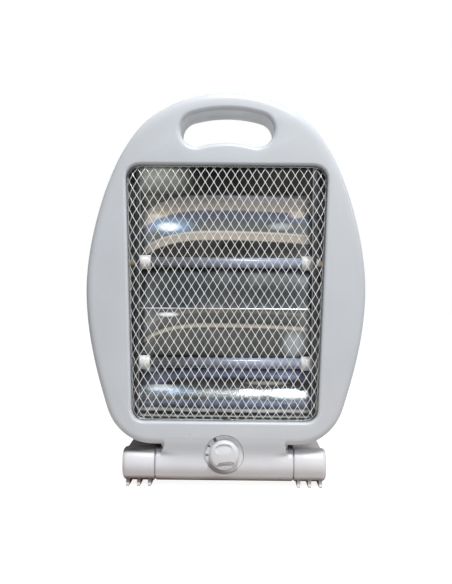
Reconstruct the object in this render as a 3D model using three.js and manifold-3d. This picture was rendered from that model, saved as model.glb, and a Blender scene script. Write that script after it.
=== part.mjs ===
// Upright two-tube halogen heater with a carrying handle, a wire-mesh front and two fold-out feet.
// Millimetres. X runs to the right, Z up, and Y back from the front face of the housing, so a drawing depth of 0
// is that face. The whole group is then moved so that the origin is the centre of the footprint on the floor.
import * as THREE from "three";
import { mergeVertices } from "three/addons/utils/BufferGeometryUtils.js";
import Module from "manifold-3d";

const wasm = await Module();
wasm.setup();

// ---- Driving dimensions -------------------------------------------------------------------------------------

const GAP = 0.3; // between pieces that touch
const WALL = 2.5; // moulded plastic wall
const SHEET = 0.8; // pressed sheet metal

// Housing: an oval on a short flat base
const BODY_WIDTH = 261.6;
const BODY_TOP = 368.6;
const BODY_BOTTOM = 39.3;
const BODY_DEPTH = 64;
const FRONT_SHELL_DEPTH = 38;
const FRONT_ROUND = 9;
const REAR_ROUND = 14;
const REAR_DRAFT = 3;
const SEAM_STEP = 0.8;

// Its edge from the end of the flat base up to the top, as shares of the half width and of the height
const BODY_EDGE = [
  [0.4358, 0],
  [0.5924, 0.0032],
  [0.716, 0.027],
  [0.8152, 0.0727],
  [0.8753, 0.1432],
  [0.935, 0.2326],
  [0.9826, 0.3355],
  [1, 0.4438],
  [0.9779, 0.5451],
  [0.9234, 0.6491],
  [0.8429, 0.7496],
  [0.7274, 0.8451],
  [0.5551, 0.9282],
  [0.2776, 0.9852],
  [0, 1],
];

// Handle: an arched slot right through both shells
const SLOT_HALF_HEIGHT = 15.3;
const SLOT_ARCH_RADIUS = 104;
const SLOT_HALF_SPAN = 28.3; // from the middle to the centre of each round end
const HANDLE_BAR_HEIGHT = 16.2; // from the top of the slot to the top of the housing
const HANDLE_ROUND = 4;

// Window in the front shell, a trapezium with round corners
const WINDOW_TOP = 301;
const WINDOW_BOTTOM = 61;
const WINDOW_TOP_HALF = 94.8;
const WINDOW_BOTTOM_HALF = 86.9;
const WINDOW_TOP_CORNER = 16;
const WINDOW_BOTTOM_CORNER = 12;
const WINDOW_ROUND = 2.4;
const LIP_DEPTH = 12.6;

// Mesh guard
const MESH_CLEARANCE = 0.8; // to the window lip all round
const MESH_THICKNESS = 1.2;
const MESH_STRAND = 1.7;
const MESH_COLUMNS = 11;
const MESH_ROWS = 8;
const MESH_DEPTH = 2; // its flat middle behind the housing face
const MESH_TURN = 9; // radius of its turned-back edge
const MESH_RIM = 3;

// Reflector box
const TUBE_UPPER_HEIGHT = 210.2;
const TUBE_LOWER_HEIGHT = 114;
const TUBE_DEPTH = 30;
const REFLECTOR_TOP = 274;
const REFLECTOR_RIDGE = 166;
const REFLECTOR_BOTTOM = 65.8;
const REFLECTOR_FRONT = 16;
const RIDGE_DEPTH = 34;
const TROUGH_DEPTH = 46;
const SIDE_PLATE_INNER = 84.6;
const SHIELD_BACK = 51;
const SHIELD_TOP = 303;
const SHIELD_PANEL_DEPTH = 18;
const STRIP_HEIGHT = 1.8;
const STRIP_DEPTH = 3;

// Heating tubes
const TUBE_RADIUS = 5;
const TUBE_WALL = 1;
const TUBE_HALF_LENGTH = 79;
const COIL_CLEARANCE = 0.6;
const CAP_RADIUS = 6.75;
const CAP_LENGTH = 12;
const CAP_NECK_RADIUS = 4.5;
const CAP_NECK_LENGTH = 4;
const CAP_SOCKET_DEPTH = 7;
const TERMINAL_LENGTH = 7;
const TERMINAL_WIDTH = 5;

// Base bar and feet, on one axis
const BAR_RADIUS = 15.75;
const BAR_AXIS_DEPTH = 17;
const BAR_AXIS_HEIGHT = 19.5;
const BAR_HALF_LENGTH = 65.2;
const BAR_END_WALL = 4;
const BAR_CHAMFER = 2.4;
const NECK_HALF_WIDTH = 57.3;
const FOOT_CLEARANCE = 0.6; // running gap between the bar and each foot
const FOOT_OUTER = 96.2;
const FOOT_DOME = 4.5;
const DOME_EDGE = [
  // shares of the bar's radius and of the dome
  [0.96, 0.62],
  [0.8, 0.22],
  [0.5, 0.05],
];
const LEG_INSET = 0.7; // leg side to barrel inner end
const LEG_OUTER = 91.6;
const LEG_BACK = 118;
const LEG_NOSE_HEIGHT = 14;
const LEG_SLOPE_START = 88;
const LEG_SKIRT_HEIGHT = 6;
const LEG_WALL = 2.2;
const LEG_NOSE_CURVE = 4; // reach of the slope's curve in front of the nose
const RIB_PLACES = [69.9, 80.1, 90.3];
const RIB_THICKNESS = 3;
const RIB_FRONT = 8.6;
const RIB_TOE = 3.6; // front of the rib on the floor
const RIB_TOE_HEIGHT = 9;
const RIB_TOP_END = 96;
const AXLE_RADIUS = 3;
const AXLE_BOSS_RADIUS = 6;
const STOP_ANGLE = 100; // of the stop lug, from straight back, turning up
const FOLD_ANGLE = 90;
const STOP_CLEARANCE_ANGLE = 24;
const STOP_THICKNESS = 2.4;

// Dial and switch
const DIAL_HEIGHT = 30.4;
const DIAL_RADIUS = 18.7;
const DIAL_RIM = 1.8;
const DIAL_FACE = 1.3; // front of the dial's rim behind the housing face
const DIAL_FLOOR = 4;
const DIAL_PLATE_THICKNESS = 0.6;
const KNOB_RADIUS = 13.8;
const KNOB_PROUD = 6.5;
const KNOB_GRIP_HALF = 4.2;
const SHAFT_RADIUS = 3;
const SWITCH_SIZE = 22;
const SWITCH_BACK = 19;
const POCKET_MARGIN = 1.6;
const SWITCH_STANDOFF = 0.8; // from the dial's floor
const SHAFT_SINK = 3; // front of the shaft behind the front of the knob
const KNOB_SCOOP_RADIUS = 8;
const KNOB_RIM = 3.4;

// Screws
const SCREW_RADIUS = 1.3;
const SCREW_HEAD_RADIUS = 3;
const SCREW_HEAD_HEIGHT = 2.2;
const BOSS_RADIUS = 4;
const SCREW_SINK = 16; // screw seat in front of the back of the housing

const SHELL_SCREWS = [
  ["upper", 72, 311],
  ["middle", 113, 190],
  ["lower", 78, 51.5],
];
const PLATE_SCREWS = [
  ["upper", 262],
  ["lower", 92],
];
const PLATE_SCREW_REACH = 101.5;
const TAB_DEPTH = 24;
const TAB_WIDTH = 8;
const COVER_SCREW_REACH = 46;
const COVER_SCREW_SINK = 6;
const SCREW_LENGTHS = { shell: 26, plate: 12, cover: 16 };

// Pieces in the bottom of the housing and at the back
const TILT_BOX = { x: 32, y: 26, width: 24, depth: 18, height: 14, wall: 1.5 };
const PENDULUM = { pivotRadius: 1, armLength: 5.8, bobRadius: 2.2, bobWidth: 8 };
const TERMINAL_BLOCK = { x: -32, y: 30, width: 24, depth: 12, height: 9, port: 1.6 };
const INLET = { x: -62, z: 74, bore: 3.2, neck: 4.7, flange: 7, lip: 2 };
const CUTOUT = { z: 240, radius: 8, height: 5 };
const LEAD_RADIUS = 1;
const LOUVRE_ROWS = 12;
const LOUVRE_PITCH = 14;
const LOUVRE_HEIGHT = 4.5;
const LOUVRE_BOTTOM = 98;
const LOUVRE_INNER = 5;
const LOUVRE_OUTER = 66;

const MID_SIDES = 28;
const SMALL_SIDES = 8;
const BOSS_SIDES = 12;

// ---- Materials ----------------------------------------------------------------------------------------------

function finish(color, roughness, metalness) {
  return new THREE.MeshStandardMaterial({ color, roughness, metalness });
}

const whitePlastic = finish(0xc9cdd2, 0.42, 0);
const knobPlastic = finish(0xd2d2d6, 0.38, 0);
const dialPlastic = finish(0xc6c6cc, 0.45, 0);
const blackPlastic = finish(0x1c1c1e, 0.55, 0);
const zincWire = finish(0xb9bbb8, 0.42, 1);
const mirrorSheet = finish(0xd9dadb, 0.12, 1);
const darkSheet = finish(0x4a4b4d, 0.35, 1);
const quartz = finish(0xb9b7c4, 0.3, 0);
const ceramic = finish(0xe6e4dc, 0.6, 0);
const heaterWire = finish(0x6d6660, 0.5, 1);
const steel = finish(0x9b9c9e, 0.35, 1);
const brass = finish(0xb79a55, 0.35, 1);
const leadSleeve = finish(0xd8d3c4, 0.7, 0);
const rubber = finish(0x242426, 0.85, 0);

// ---- Solids -------------------------------------------------------------------------------------------------

// A closed geometry as a solid, turned inside out first where its faces point in.
function solidOf(geometry) {
  const bare = new THREE.BufferGeometry();
  bare.setAttribute("position", geometry.getAttribute("position"));
  if (geometry.index) bare.setIndex(geometry.index);
  const merged = mergeVertices(bare, 1e-4);
  const vertProperties = new Float32Array(merged.attributes.position.array);
  const triVerts = new Uint32Array(merged.index.array);
  const made = new wasm.Manifold(new wasm.Mesh({ numProp: 3, vertProperties, triVerts }));
  if (made.volume() >= 0) return made;
  for (let i = 0; i < triVerts.length; i += 3) {
    [triVerts[i + 1], triVerts[i + 2]] = [triVerts[i + 2], triVerts[i + 1]];
  }
  return new wasm.Manifold(new wasm.Mesh({ numProp: 3, vertProperties, triVerts }));
}

function geometryOf(solid) {
  const mesh = solid.getMesh();
  const geometry = new THREE.BufferGeometry();
  geometry.setAttribute("position", new THREE.BufferAttribute(new Float32Array(mesh.vertProperties), 3));
  geometry.setIndex(new THREE.BufferAttribute(new Uint32Array(mesh.triVerts), 1));
  const flat = geometry.toNonIndexed();
  flat.computeVertexNormals();
  return flat;
}

function joined(...solids) {
  return solids.reduce((all, one) => all.add(one));
}

function cut(solid, ...tools) {
  return tools.reduce((left, tool) => left.subtract(tool), solid);
}

function box(x0, x1, y0, y1, z0, z1) {
  const geometry = new THREE.BoxGeometry(x1 - x0, y1 - y0, z1 - z0);
  return solidOf(geometry.translate((x0 + x1) / 2, (y0 + y1) / 2, (z0 + z1) / 2));
}

// A flat outline in X and Z, carried from one depth to another.
function prismY(points, y0, y1) {
  const options = { depth: y1 - y0, bevelEnabled: false };
  const geometry = new THREE.ExtrudeGeometry(new THREE.Shape(points), options);
  return solidOf(geometry.rotateX(Math.PI / 2).translate(0, y1, 0));
}

// A flat outline in Y and Z, carried along X.
function prismX(points, x0, x1) {
  const options = { depth: x1 - x0, bevelEnabled: false };
  const geometry = new THREE.ExtrudeGeometry(new THREE.Shape(points), options);
  const sideways = new THREE.Matrix4().makeBasis(
    new THREE.Vector3(0, 1, 0),
    new THREE.Vector3(0, 0, 1),
    new THREE.Vector3(1, 0, 0),
  );
  return solidOf(geometry.applyMatrix4(sideways).translate(x0, 0, 0));
}

// A profile of [radius, distance] pairs turned about a line through (0, y, z) along X, or through (x, 0, z) along Y.
function turned(profile, sides) {
  return new THREE.LatheGeometry(profile.map(([r, d]) => new THREE.Vector2(r, d)), sides);
}

function turnedX(profile, y, z, sides = MID_SIDES) {
  return solidOf(turned(profile, sides).rotateZ(-Math.PI / 2).translate(0, y, z));
}

function turnedY(profile, x, z, sides = MID_SIDES) {
  return solidOf(turned(profile, sides).translate(x, 0, z));
}

function rodX(radius, x0, x1, y, z, sides = MID_SIDES) {
  return turnedX([[0, x0], [radius, x0], [radius, x1], [0, x1]], y, z, sides);
}

function rodY(radius, y0, y1, x, z, sides = MID_SIDES) {
  return turnedY([[0, y0], [radius, y0], [radius, y1], [0, y1]], x, z, sides);
}

function ring(outer, inner, from, to) {
  return [[inner, from], [outer, from], [outer, to], [inner, to], [inner, from]];
}

// The outline moved inwards by a distance, corner by corner.
function inset(points, distance) {
  return points.map((point, i) => {
    const before = points[(i + points.length - 1) % points.length];
    const after = points[(i + 1) % points.length];
    const a = new THREE.Vector2().subVectors(point, before).normalize();
    const b = new THREE.Vector2().subVectors(after, point).normalize();
    const normal = new THREE.Vector2(-a.y - b.y, a.x + b.x).normalize();
    const reach = distance / Math.max(0.5, normal.x * -a.y + normal.y * a.x);
    return new THREE.Vector2().copy(point).addScaledVector(normal, reach);
  });
}

// Skins one outline through stations of [inset, depth].
function loft(points, stations) {
  const count = points.length;
  const position = [];
  const index = [];
  stations.forEach(([distance, y]) => {
    inset(points, distance).forEach((p) => position.push(p.x, y, p.y));
  });
  for (let s = 0; s + 1 < stations.length; s += 1) {
    for (let i = 0; i < count; i += 1) {
      const a = s * count + i;
      const b = s * count + ((i + 1) % count);
      index.push(a, b, a + count, b, b + count, a + count);
    }
  }
  const last = (stations.length - 1) * count;
  const cap = (distance, shift, flip) => {
    THREE.ShapeUtils.triangulateShape(inset(points, distance), []).forEach(([a, b, c]) => {
      if (flip) index.push(a + shift, c + shift, b + shift);
      else index.push(a + shift, b + shift, c + shift);
    });
  };
  cap(stations[0][0], 0, true);
  cap(stations[stations.length - 1][0], last, false);
  const geometry = new THREE.BufferGeometry();
  geometry.setAttribute("position", new THREE.Float32BufferAttribute(position, 3));
  geometry.setIndex(index);
  return solidOf(geometry);
}

// Stations of a quarter round: from a full inset at its start to none, or back again.
function roundIn(radius, base, y0, steps) {
  return Array.from({ length: steps + 1 }, (_, i) => {
    const angle = ((Math.PI / 2) * i) / steps;
    return [base + radius * (1 - Math.sin(angle)), y0 + radius * (1 - Math.cos(angle))];
  });
}

function roundOut(radius, base, y1, steps) {
  return roundIn(radius, base, 0, steps)
    .map(([distance, y]) => [distance, y1 - y])
    .reverse();
}

const heater = new THREE.Group();

function place(name, solid, material, parent = heater) {
  const mesh = new THREE.Mesh(geometryOf(solid), material);
  mesh.name = name;
  parent.add(mesh);
  return mesh;
}

// ---- Outlines -----------------------------------------------------------------------------------------------

function samePoints(points) {
  return points.filter((p, i) => p.distanceTo(points[(i + 1) % points.length]) > 1e-3);
}

function bodyOutline() {
  const height = BODY_TOP - BODY_BOTTOM;
  const right = BODY_EDGE.map(([x, z]) => new THREE.Vector2((x * BODY_WIDTH) / 2, BODY_BOTTOM + z * height));
  const left = right.slice(0, -1).map((point) => new THREE.Vector2(-point.x, point.y));
  const edge = new THREE.SplineCurve([...right, ...left.reverse()]);
  return samePoints(edge.getPoints(2 * (edge.points.length - 1)));
}

function slotOutline() {
  const tilt = Math.asin(SLOT_HALF_SPAN / SLOT_ARCH_RADIUS);
  const up = Math.PI / 2;
  const top = BODY_TOP - HANDLE_BAR_HEIGHT;
  const centre = top - SLOT_HALF_HEIGHT - SLOT_ARCH_RADIUS;
  const endHeight = centre + SLOT_ARCH_RADIUS * Math.cos(tilt);
  const path = new THREE.Path();
  path.absarc(SLOT_HALF_SPAN, endHeight, SLOT_HALF_HEIGHT, -up - tilt, up - tilt, false);
  path.absarc(0, centre, SLOT_ARCH_RADIUS + SLOT_HALF_HEIGHT, up - tilt, up + tilt, false);
  path.absarc(-SLOT_HALF_SPAN, endHeight, SLOT_HALF_HEIGHT, up + tilt, 3 * up + tilt, false);
  path.absarc(0, centre, SLOT_ARCH_RADIUS - SLOT_HALF_HEIGHT, up + tilt, up - tilt, true);
  return samePoints(path.getPoints(4));
}

function windowHalfWidth(z) {
  const share = (z - WINDOW_BOTTOM) / (WINDOW_TOP - WINDOW_BOTTOM);
  return THREE.MathUtils.lerp(WINDOW_BOTTOM_HALF, WINDOW_TOP_HALF, share);
}

function windowOutline() {
  const top = WINDOW_TOP - WINDOW_TOP_CORNER;
  const bottom = WINDOW_BOTTOM + WINDOW_BOTTOM_CORNER;
  const path = new THREE.Path();
  path.moveTo(windowHalfWidth(bottom), bottom);
  path.lineTo(windowHalfWidth(top), top);
  path.quadraticCurveTo(WINDOW_TOP_HALF, WINDOW_TOP, WINDOW_TOP_HALF - WINDOW_TOP_CORNER, WINDOW_TOP);
  path.lineTo(WINDOW_TOP_CORNER - WINDOW_TOP_HALF, WINDOW_TOP);
  path.quadraticCurveTo(-WINDOW_TOP_HALF, WINDOW_TOP, -windowHalfWidth(top), top);
  path.lineTo(-windowHalfWidth(bottom), bottom);
  path.quadraticCurveTo(
    -WINDOW_BOTTOM_HALF,
    WINDOW_BOTTOM,
    WINDOW_BOTTOM_CORNER - WINDOW_BOTTOM_HALF,
    WINDOW_BOTTOM,
  );
  path.lineTo(WINDOW_BOTTOM_HALF - WINDOW_BOTTOM_CORNER, WINDOW_BOTTOM);
  path.quadraticCurveTo(WINDOW_BOTTOM_HALF, WINDOW_BOTTOM, windowHalfWidth(bottom), bottom);
  return samePoints(path.getPoints(3));
}

const body = bodyOutline();
const slot = slotOutline();
const windowEdge = windowOutline();

// ---- Front shell --------------------------------------------------------------------------------------------

const SIDES = [-1, 1];
const sideName = (side) => (side < 0 ? "left" : "right");
const PAST = 1; // how far a cut runs past a face

// A hole that flares at its mouth with the given rounding, from the mouth at depth y0 to depth y1.
function flaredHole(points, rounding, y0, y1) {
  const direction = Math.sign(y1 - y0);
  const flare = roundIn(rounding, 0, 0, 3).map(([d, y]) => [-d, y0 + direction * y]);
  const stations = [[-rounding, y0 - direction * PAST], ...flare, [0, y1]];
  return loft(points, stations);
}

function screwBoss(side, reach, z, y0, y1, radius = BOSS_RADIUS) {
  return rodY(radius, y0, y1, side * reach, z, BOSS_SIDES);
}

const pilotRadius = SCREW_RADIUS + GAP;
const screwSeat = BODY_DEPTH - SCREW_SINK;
const barInner = BAR_HALF_LENGTH - BAR_END_WALL;
const wallFloor = BODY_BOTTOM + WALL;
const neckTop = BODY_BOTTOM + FRONT_ROUND;
const pocketHalf = SWITCH_SIZE / 2 + POCKET_MARGIN;
const dialFloorBack = DIAL_FLOOR + WALL / 2;
const pocketFront = dialFloorBack + SWITCH_STANDOFF;

function barProfile(radius) {
  return [
    [0, -BAR_HALF_LENGTH],
    [radius - BAR_CHAMFER, -BAR_HALF_LENGTH],
    [radius, BAR_CHAMFER - BAR_HALF_LENGTH],
    [radius, BAR_HALF_LENGTH - BAR_CHAMFER],
    [radius - BAR_CHAMFER, BAR_HALF_LENGTH],
    [0, BAR_HALF_LENGTH],
  ];
}

const barOuter = turnedX(barProfile(BAR_RADIUS), BAR_AXIS_DEPTH, BAR_AXIS_HEIGHT);
const barHollow = rodX(BAR_RADIUS - WALL, -barInner, barInner, BAR_AXIS_DEPTH, BAR_AXIS_HEIGHT);
const axleHole = rodX(
  AXLE_RADIUS + GAP,
  -BAR_HALF_LENGTH - PAST,
  BAR_HALF_LENGTH + PAST,
  BAR_AXIS_DEPTH,
  BAR_AXIS_HEIGHT,
  16,
);
const barSplit = BAR_AXIS_DEPTH; // the bar parts on a plane through the feet's axis
const neckFront = DIAL_FACE;
const neckInner = NECK_HALF_WIDTH - WALL;

// A lug on each end of the bar, which each foot's webs meet at the two ends of its swing.
function stopArm(side, angle, from, to, x0, x1) {
  const arm = new THREE.BoxGeometry(x1 - x0, to - from, STOP_THICKNESS);
  arm.translate((x0 + x1) / 2, (from + to) / 2, 0);
  arm.rotateX(THREE.MathUtils.degToRad(angle));
  if (side < 0) arm.scale(-1, 1, 1);
  return solidOf(arm.translate(0, BAR_AXIS_DEPTH, BAR_AXIS_HEIGHT));
}

const stopInner = AXLE_BOSS_RADIUS + 1;
const stopOuter = BAR_RADIUS - WALL - 1;
const stopReach = 5;

function frontShell() {
  const outer = loft(body, [...roundIn(FRONT_ROUND, 0, 0, 3), [0, FRONT_SHELL_DEPTH]]);
  const hollow = cut(
    loft(body, [...roundIn(FRONT_ROUND - WALL, WALL, WALL, 2), [WALL, FRONT_SHELL_DEPTH + PAST]]),
    prismY(inset(slot, -WALL), 0, FRONT_SHELL_DEPTH + 2 * PAST),
    prismY(inset(windowEdge, -WALL), 0, LIP_DEPTH),
    ...SIDES.flatMap((side) => [
      ...SHELL_SCREWS.map(([, x, z]) => screwBoss(side, x, z, 0, FRONT_SHELL_DEPTH + 2 * PAST)),
      ...PLATE_SCREWS.map(([, z]) => screwBoss(side, PLATE_SCREW_REACH, z, 0, TAB_DEPTH - GAP)),
    ]),
  );
  const neck = box(-NECK_HALF_WIDTH, NECK_HALF_WIDTH, neckFront, barSplit, BAR_AXIS_HEIGHT, neckTop);
  const rearOfBar = box(-LEG_BACK, LEG_BACK, barSplit - GAP / 2, LEG_BACK, 0, BODY_BOTTOM);
  const bar = cut(
    joined(barOuter, neck, rodY(DIAL_RADIUS + DIAL_RIM, DIAL_FACE, barSplit, 0, DIAL_HEIGHT)),
    rearOfBar,
  );
  const barRoom = cut(
    joined(
      barHollow,
      box(-neckInner, neckInner, neckFront + WALL, barSplit + PAST, BAR_AXIS_HEIGHT, BODY_BOTTOM),
    ),
    rodY(DIAL_RADIUS + DIAL_RIM, DIAL_FACE, dialFloorBack, 0, DIAL_HEIGHT),
    ...SIDES.map((side) => screwBoss(side, COVER_SCREW_REACH, BAR_AXIS_HEIGHT, 0, barSplit)),
  );
  const lugs = SIDES.map((side) =>
    stopArm(side, STOP_ANGLE, stopInner, stopOuter, barInner + 1, BAR_HALF_LENGTH + stopReach),
  );
  const frontLugs = lugs.map((lug) => cut(lug, rearOfBar));
  const holes = SIDES.flatMap((side) => [
    ...SHELL_SCREWS.map(([, x, z]) =>
      rodY(pilotRadius, FRONT_ROUND, FRONT_SHELL_DEPTH + PAST, side * x, z, SMALL_SIDES),
    ),
    ...PLATE_SCREWS.map(([, z]) =>
      rodY(pilotRadius, FRONT_ROUND, TAB_DEPTH + PAST, side * PLATE_SCREW_REACH, z, SMALL_SIDES),
    ),
    rodY(pilotRadius, 2 * WALL, barSplit + PAST, side * COVER_SCREW_REACH, BAR_AXIS_HEIGHT, SMALL_SIDES),
  ]);
  const switchPocket = box(
    -pocketHalf,
    pocketHalf,
    pocketFront,
    barSplit + PAST,
    DIAL_HEIGHT - pocketHalf,
    DIAL_HEIGHT + pocketHalf,
  );
  const wiringHole = box(
    -pocketHalf - WALL,
    pocketHalf + WALL,
    FRONT_ROUND,
    FRONT_SHELL_DEPTH - 2 * WALL,
    BODY_BOTTOM - PAST,
    wallFloor + PAST,
  );
  return cut(
    joined(cut(joined(outer, bar), hollow, barRoom), ...frontLugs),
    flaredHole(slot, HANDLE_ROUND, 0, FRONT_SHELL_DEPTH + PAST),
    flaredHole(windowEdge, WINDOW_ROUND, 0, LIP_DEPTH + PAST),
    switchPocket,
    wiringHole,
    rodY(DIAL_RADIUS, -PAST, DIAL_FLOOR, 0, DIAL_HEIGHT),
    rodY(SHAFT_RADIUS + 2 * GAP, 0, barSplit, 0, DIAL_HEIGHT, 16),
    axleHole,
    ...holes,
  );
}

place("front_shell", frontShell(), whitePlastic);

// ---- Rear shell ---------------------------------------------------------------------------------------------

const rearFront = FRONT_SHELL_DEPTH + GAP;
const rearBoss = BOSS_RADIUS + 1;

function louvres() {
  return Array.from({ length: LOUVRE_ROWS }, (_, row) => LOUVRE_BOTTOM + row * LOUVRE_PITCH).flatMap((z) =>
    SIDES.map((side) => {
      const [x0, x1] = [side * LOUVRE_INNER, side * LOUVRE_OUTER].sort((a, b) => a - b);
      return box(x0, x1, BODY_DEPTH - 2 * WALL, BODY_DEPTH + PAST, z, z + LOUVRE_HEIGHT);
    }),
  );
}

function rearShell() {
  const outer = loft(body, [
    [SEAM_STEP, rearFront],
    ...roundOut(REAR_ROUND, REAR_DRAFT, BODY_DEPTH, 3),
  ]);
  const hollow = cut(
    loft(body, [
      [SEAM_STEP + WALL, rearFront - PAST],
      ...roundOut(REAR_ROUND - WALL, REAR_DRAFT + WALL, BODY_DEPTH - WALL, 2),
    ]),
    prismY(inset(slot, -WALL), rearFront - 2 * PAST, BODY_DEPTH),
    ...SIDES.flatMap((side) =>
      SHELL_SCREWS.map(([, x, z]) => screwBoss(side, x, z, rearFront - 2 * PAST, BODY_DEPTH, rearBoss)),
    ),
  );
  return cut(
    outer,
    hollow,
    flaredHole(slot, HANDLE_ROUND, BODY_DEPTH, rearFront - PAST),
    ...louvres(),
    ...SIDES.flatMap((side) =>
      SHELL_SCREWS.flatMap(([, x, z]) => [
        rodY(pilotRadius, rearFront - PAST, screwSeat + PAST, side * x, z, SMALL_SIDES),
        rodY(SCREW_HEAD_RADIUS + GAP, screwSeat, BODY_DEPTH + PAST, side * x, z, BOSS_SIDES),
      ]),
    ),
    rodY(INLET.neck + GAP, BODY_DEPTH - 2 * WALL, BODY_DEPTH + PAST, INLET.x, INLET.z, 16),
  );
}

place("rear_shell", rearShell(), whitePlastic);

// ---- Base cover: the rear half of the bar ---------------------------------------------------------------------

const coverFront = barSplit + GAP / 2;
const coverTop = BODY_BOTTOM - GAP;
const coverBack = BAR_AXIS_DEPTH + BAR_RADIUS;
const coverSeat = coverBack - COVER_SCREW_SINK;

function baseCover() {
  const frontOfBar = box(-LEG_BACK, LEG_BACK, -LEG_BACK, coverFront, -PAST, BODY_BOTTOM + PAST);
  const saddle = box(-NECK_HALF_WIDTH, NECK_HALF_WIDTH, barSplit, coverBack, BAR_AXIS_HEIGHT, coverTop);
  const room = joined(
    barHollow,
    box(-neckInner, neckInner, barSplit - PAST, coverBack - WALL, BAR_AXIS_HEIGHT, coverTop - WALL),
  );
  const bosses = SIDES.map((side) =>
    screwBoss(side, COVER_SCREW_REACH, BAR_AXIS_HEIGHT, 0, coverBack, rearBoss),
  );
  const lugs = SIDES.map((side) =>
    stopArm(side, STOP_ANGLE, stopInner, stopOuter, barInner + 1, BAR_HALF_LENGTH + stopReach),
  );
  return cut(
    joined(cut(joined(barOuter, saddle), cut(room, ...bosses)), ...lugs),
    frontOfBar,
    box(-pocketHalf, pocketHalf, barSplit - PAST, coverBack - 2 * WALL, BAR_AXIS_HEIGHT, coverTop + PAST),
    axleHole,
    ...SIDES.flatMap((side) => [
      rodY(pilotRadius, barSplit - PAST, coverBack, side * COVER_SCREW_REACH, BAR_AXIS_HEIGHT, SMALL_SIDES),
      rodY(SCREW_HEAD_RADIUS + GAP, coverSeat, coverBack + PAST, side * COVER_SCREW_REACH, BAR_AXIS_HEIGHT, 16),
    ]),
  );
}

place("base_cover", baseCover(), whitePlastic);

// ---- Screws: a pan head on a plain shank, driven from the back -------------------------------------------------

function screw(x, z, seat, length) {
  const profile = [
    [0, seat - length],
    [SCREW_RADIUS, seat - length],
    [SCREW_RADIUS, seat + GAP],
    [SCREW_HEAD_RADIUS, seat + GAP],
    [SCREW_HEAD_RADIUS, seat + SCREW_HEAD_HEIGHT],
    [0, seat + SCREW_HEAD_HEIGHT],
  ];
  return turnedY(profile, x, z, SMALL_SIDES);
}

for (const side of SIDES) {
  for (const [level, x, z] of SHELL_SCREWS) {
    const shank = screw(side * x, z, screwSeat, SCREW_LENGTHS.shell);
    place(`${sideName(side)}_${level}_shell_screw`, shank, steel);
  }
  for (const [level, z] of PLATE_SCREWS) {
    const shank = screw(side * PLATE_SCREW_REACH, z, TAB_DEPTH + SHEET, SCREW_LENGTHS.plate);
    place(`${sideName(side)}_${level}_plate_screw`, shank, steel);
  }
  const shank = screw(side * COVER_SCREW_REACH, BAR_AXIS_HEIGHT, coverSeat, SCREW_LENGTHS.cover);
  place(`${sideName(side)}_cover_screw`, shank, steel);
}

// ---- Mesh guard: a flat sheet of open diamonds whose edges turn back inside the window --------------------------

function turnBack(distance) {
  if (distance >= MESH_TURN) return 0;
  const inside = MESH_TURN - Math.max(0, distance);
  return MESH_TURN - Math.sqrt(MESH_TURN ** 2 - inside ** 2);
}

function meshGuard() {
  const edge = inset(windowEdge, MESH_CLEARANCE);
  const low = WINDOW_BOTTOM + MESH_CLEARANCE;
  const high = WINDOW_TOP - MESH_CLEARANCE;
  const sideEdge = (z) => windowHalfWidth(z) - MESH_CLEARANCE;
  const pitchZ = (high - low - MESH_RIM) / MESH_ROWS;
  const pitchX = (2 * (WINDOW_TOP_HALF - MESH_CLEARANCE) - MESH_RIM) / MESH_COLUMNS;
  const halfX = pitchX / 2 - (MESH_STRAND * Math.hypot(pitchX, pitchZ)) / (2 * pitchZ);
  const halfZ = pitchZ / 2 - (MESH_STRAND * Math.hypot(pitchX, pitchZ)) / (2 * pitchX);
  const rim = inset(windowEdge, MESH_CLEARANCE + MESH_RIM);
  const inRim = (x, z) =>
    rim.every((p, i) => {
      const q = rim[(i + 1) % rim.length];
      return (q.x - p.x) * (z - p.y) - (q.y - p.y) * (x - p.x) > 0;
    });
  const diamond = (x, z) => [
    new THREE.Vector2(x - halfX, z),
    new THREE.Vector2(x, z - halfZ),
    new THREE.Vector2(x + halfX, z),
    new THREE.Vector2(x, z + halfZ),
  ];
  const holes = [];
  const middle = (low + high) / 2;
  for (let row = -MESH_ROWS; row <= MESH_ROWS; row += 1) {
    for (let column = -MESH_COLUMNS; column <= MESH_COLUMNS; column += 1) {
      const x = (column * pitchX) / 2;
      const z = middle + (row * pitchZ) / 2;
      const corners = diamond(x, z);
      if ((row + column) % 2 === 0 && corners.every((corner) => inRim(corner.x, corner.y))) {
        holes.push(prismY(corners, 0, MESH_DEPTH + MESH_THICKNESS + PAST));
      }
    }
  }
  const sheet = prismY(edge, MESH_DEPTH, MESH_DEPTH + MESH_THICKNESS);
  const geometry = geometryOf(sheet.subtract(wasm.Manifold.union(holes)));
  const position = geometry.attributes.position;
  for (let i = 0; i < position.count; i += 1) {
    const [x, z] = [position.getX(i), position.getZ(i)];
    const nearest = Math.min(sideEdge(z) - Math.abs(x), z - low, high - z);
    position.setY(i, position.getY(i) + turnBack(nearest));
  }
  return solidOf(geometry);
}

place("mesh_guard", meshGuard(), zincWire);

// ---- Reflector box ---------------------------------------------------------------------------------------------

const troughHalf = SIDE_PLATE_INNER - GAP;

// The trough's surface: deepest behind its tube, and running forward to the ridge and to its outer edge.
function troughDepth(z, ridge, edge) {
  const middle = (ridge + edge) / 2;
  const t = (z - middle) / (edge - middle);
  const rise = t < 0 ? TROUGH_DEPTH - RIDGE_DEPTH : TROUGH_DEPTH - REFLECTOR_FRONT;
  return TROUGH_DEPTH - rise * Math.abs(t) ** 2.2;
}

function trough(ridge, edge) {
  const steps = 14;
  const upward = Math.sign(edge - ridge);
  const from = ridge + upward * (STRIP_HEIGHT / 2 + GAP);
  const heights = Array.from({ length: steps + 1 }, (_, i) => from + ((edge - from) * i) / steps);
  const face = heights.map((z) => new THREE.Vector2(troughDepth(z, ridge, edge), z));
  const back = face.map((p) => new THREE.Vector2(p.x + SHEET * 1.25, p.y)).reverse();
  return prismX([...face, ...back], -troughHalf, troughHalf);
}

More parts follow.
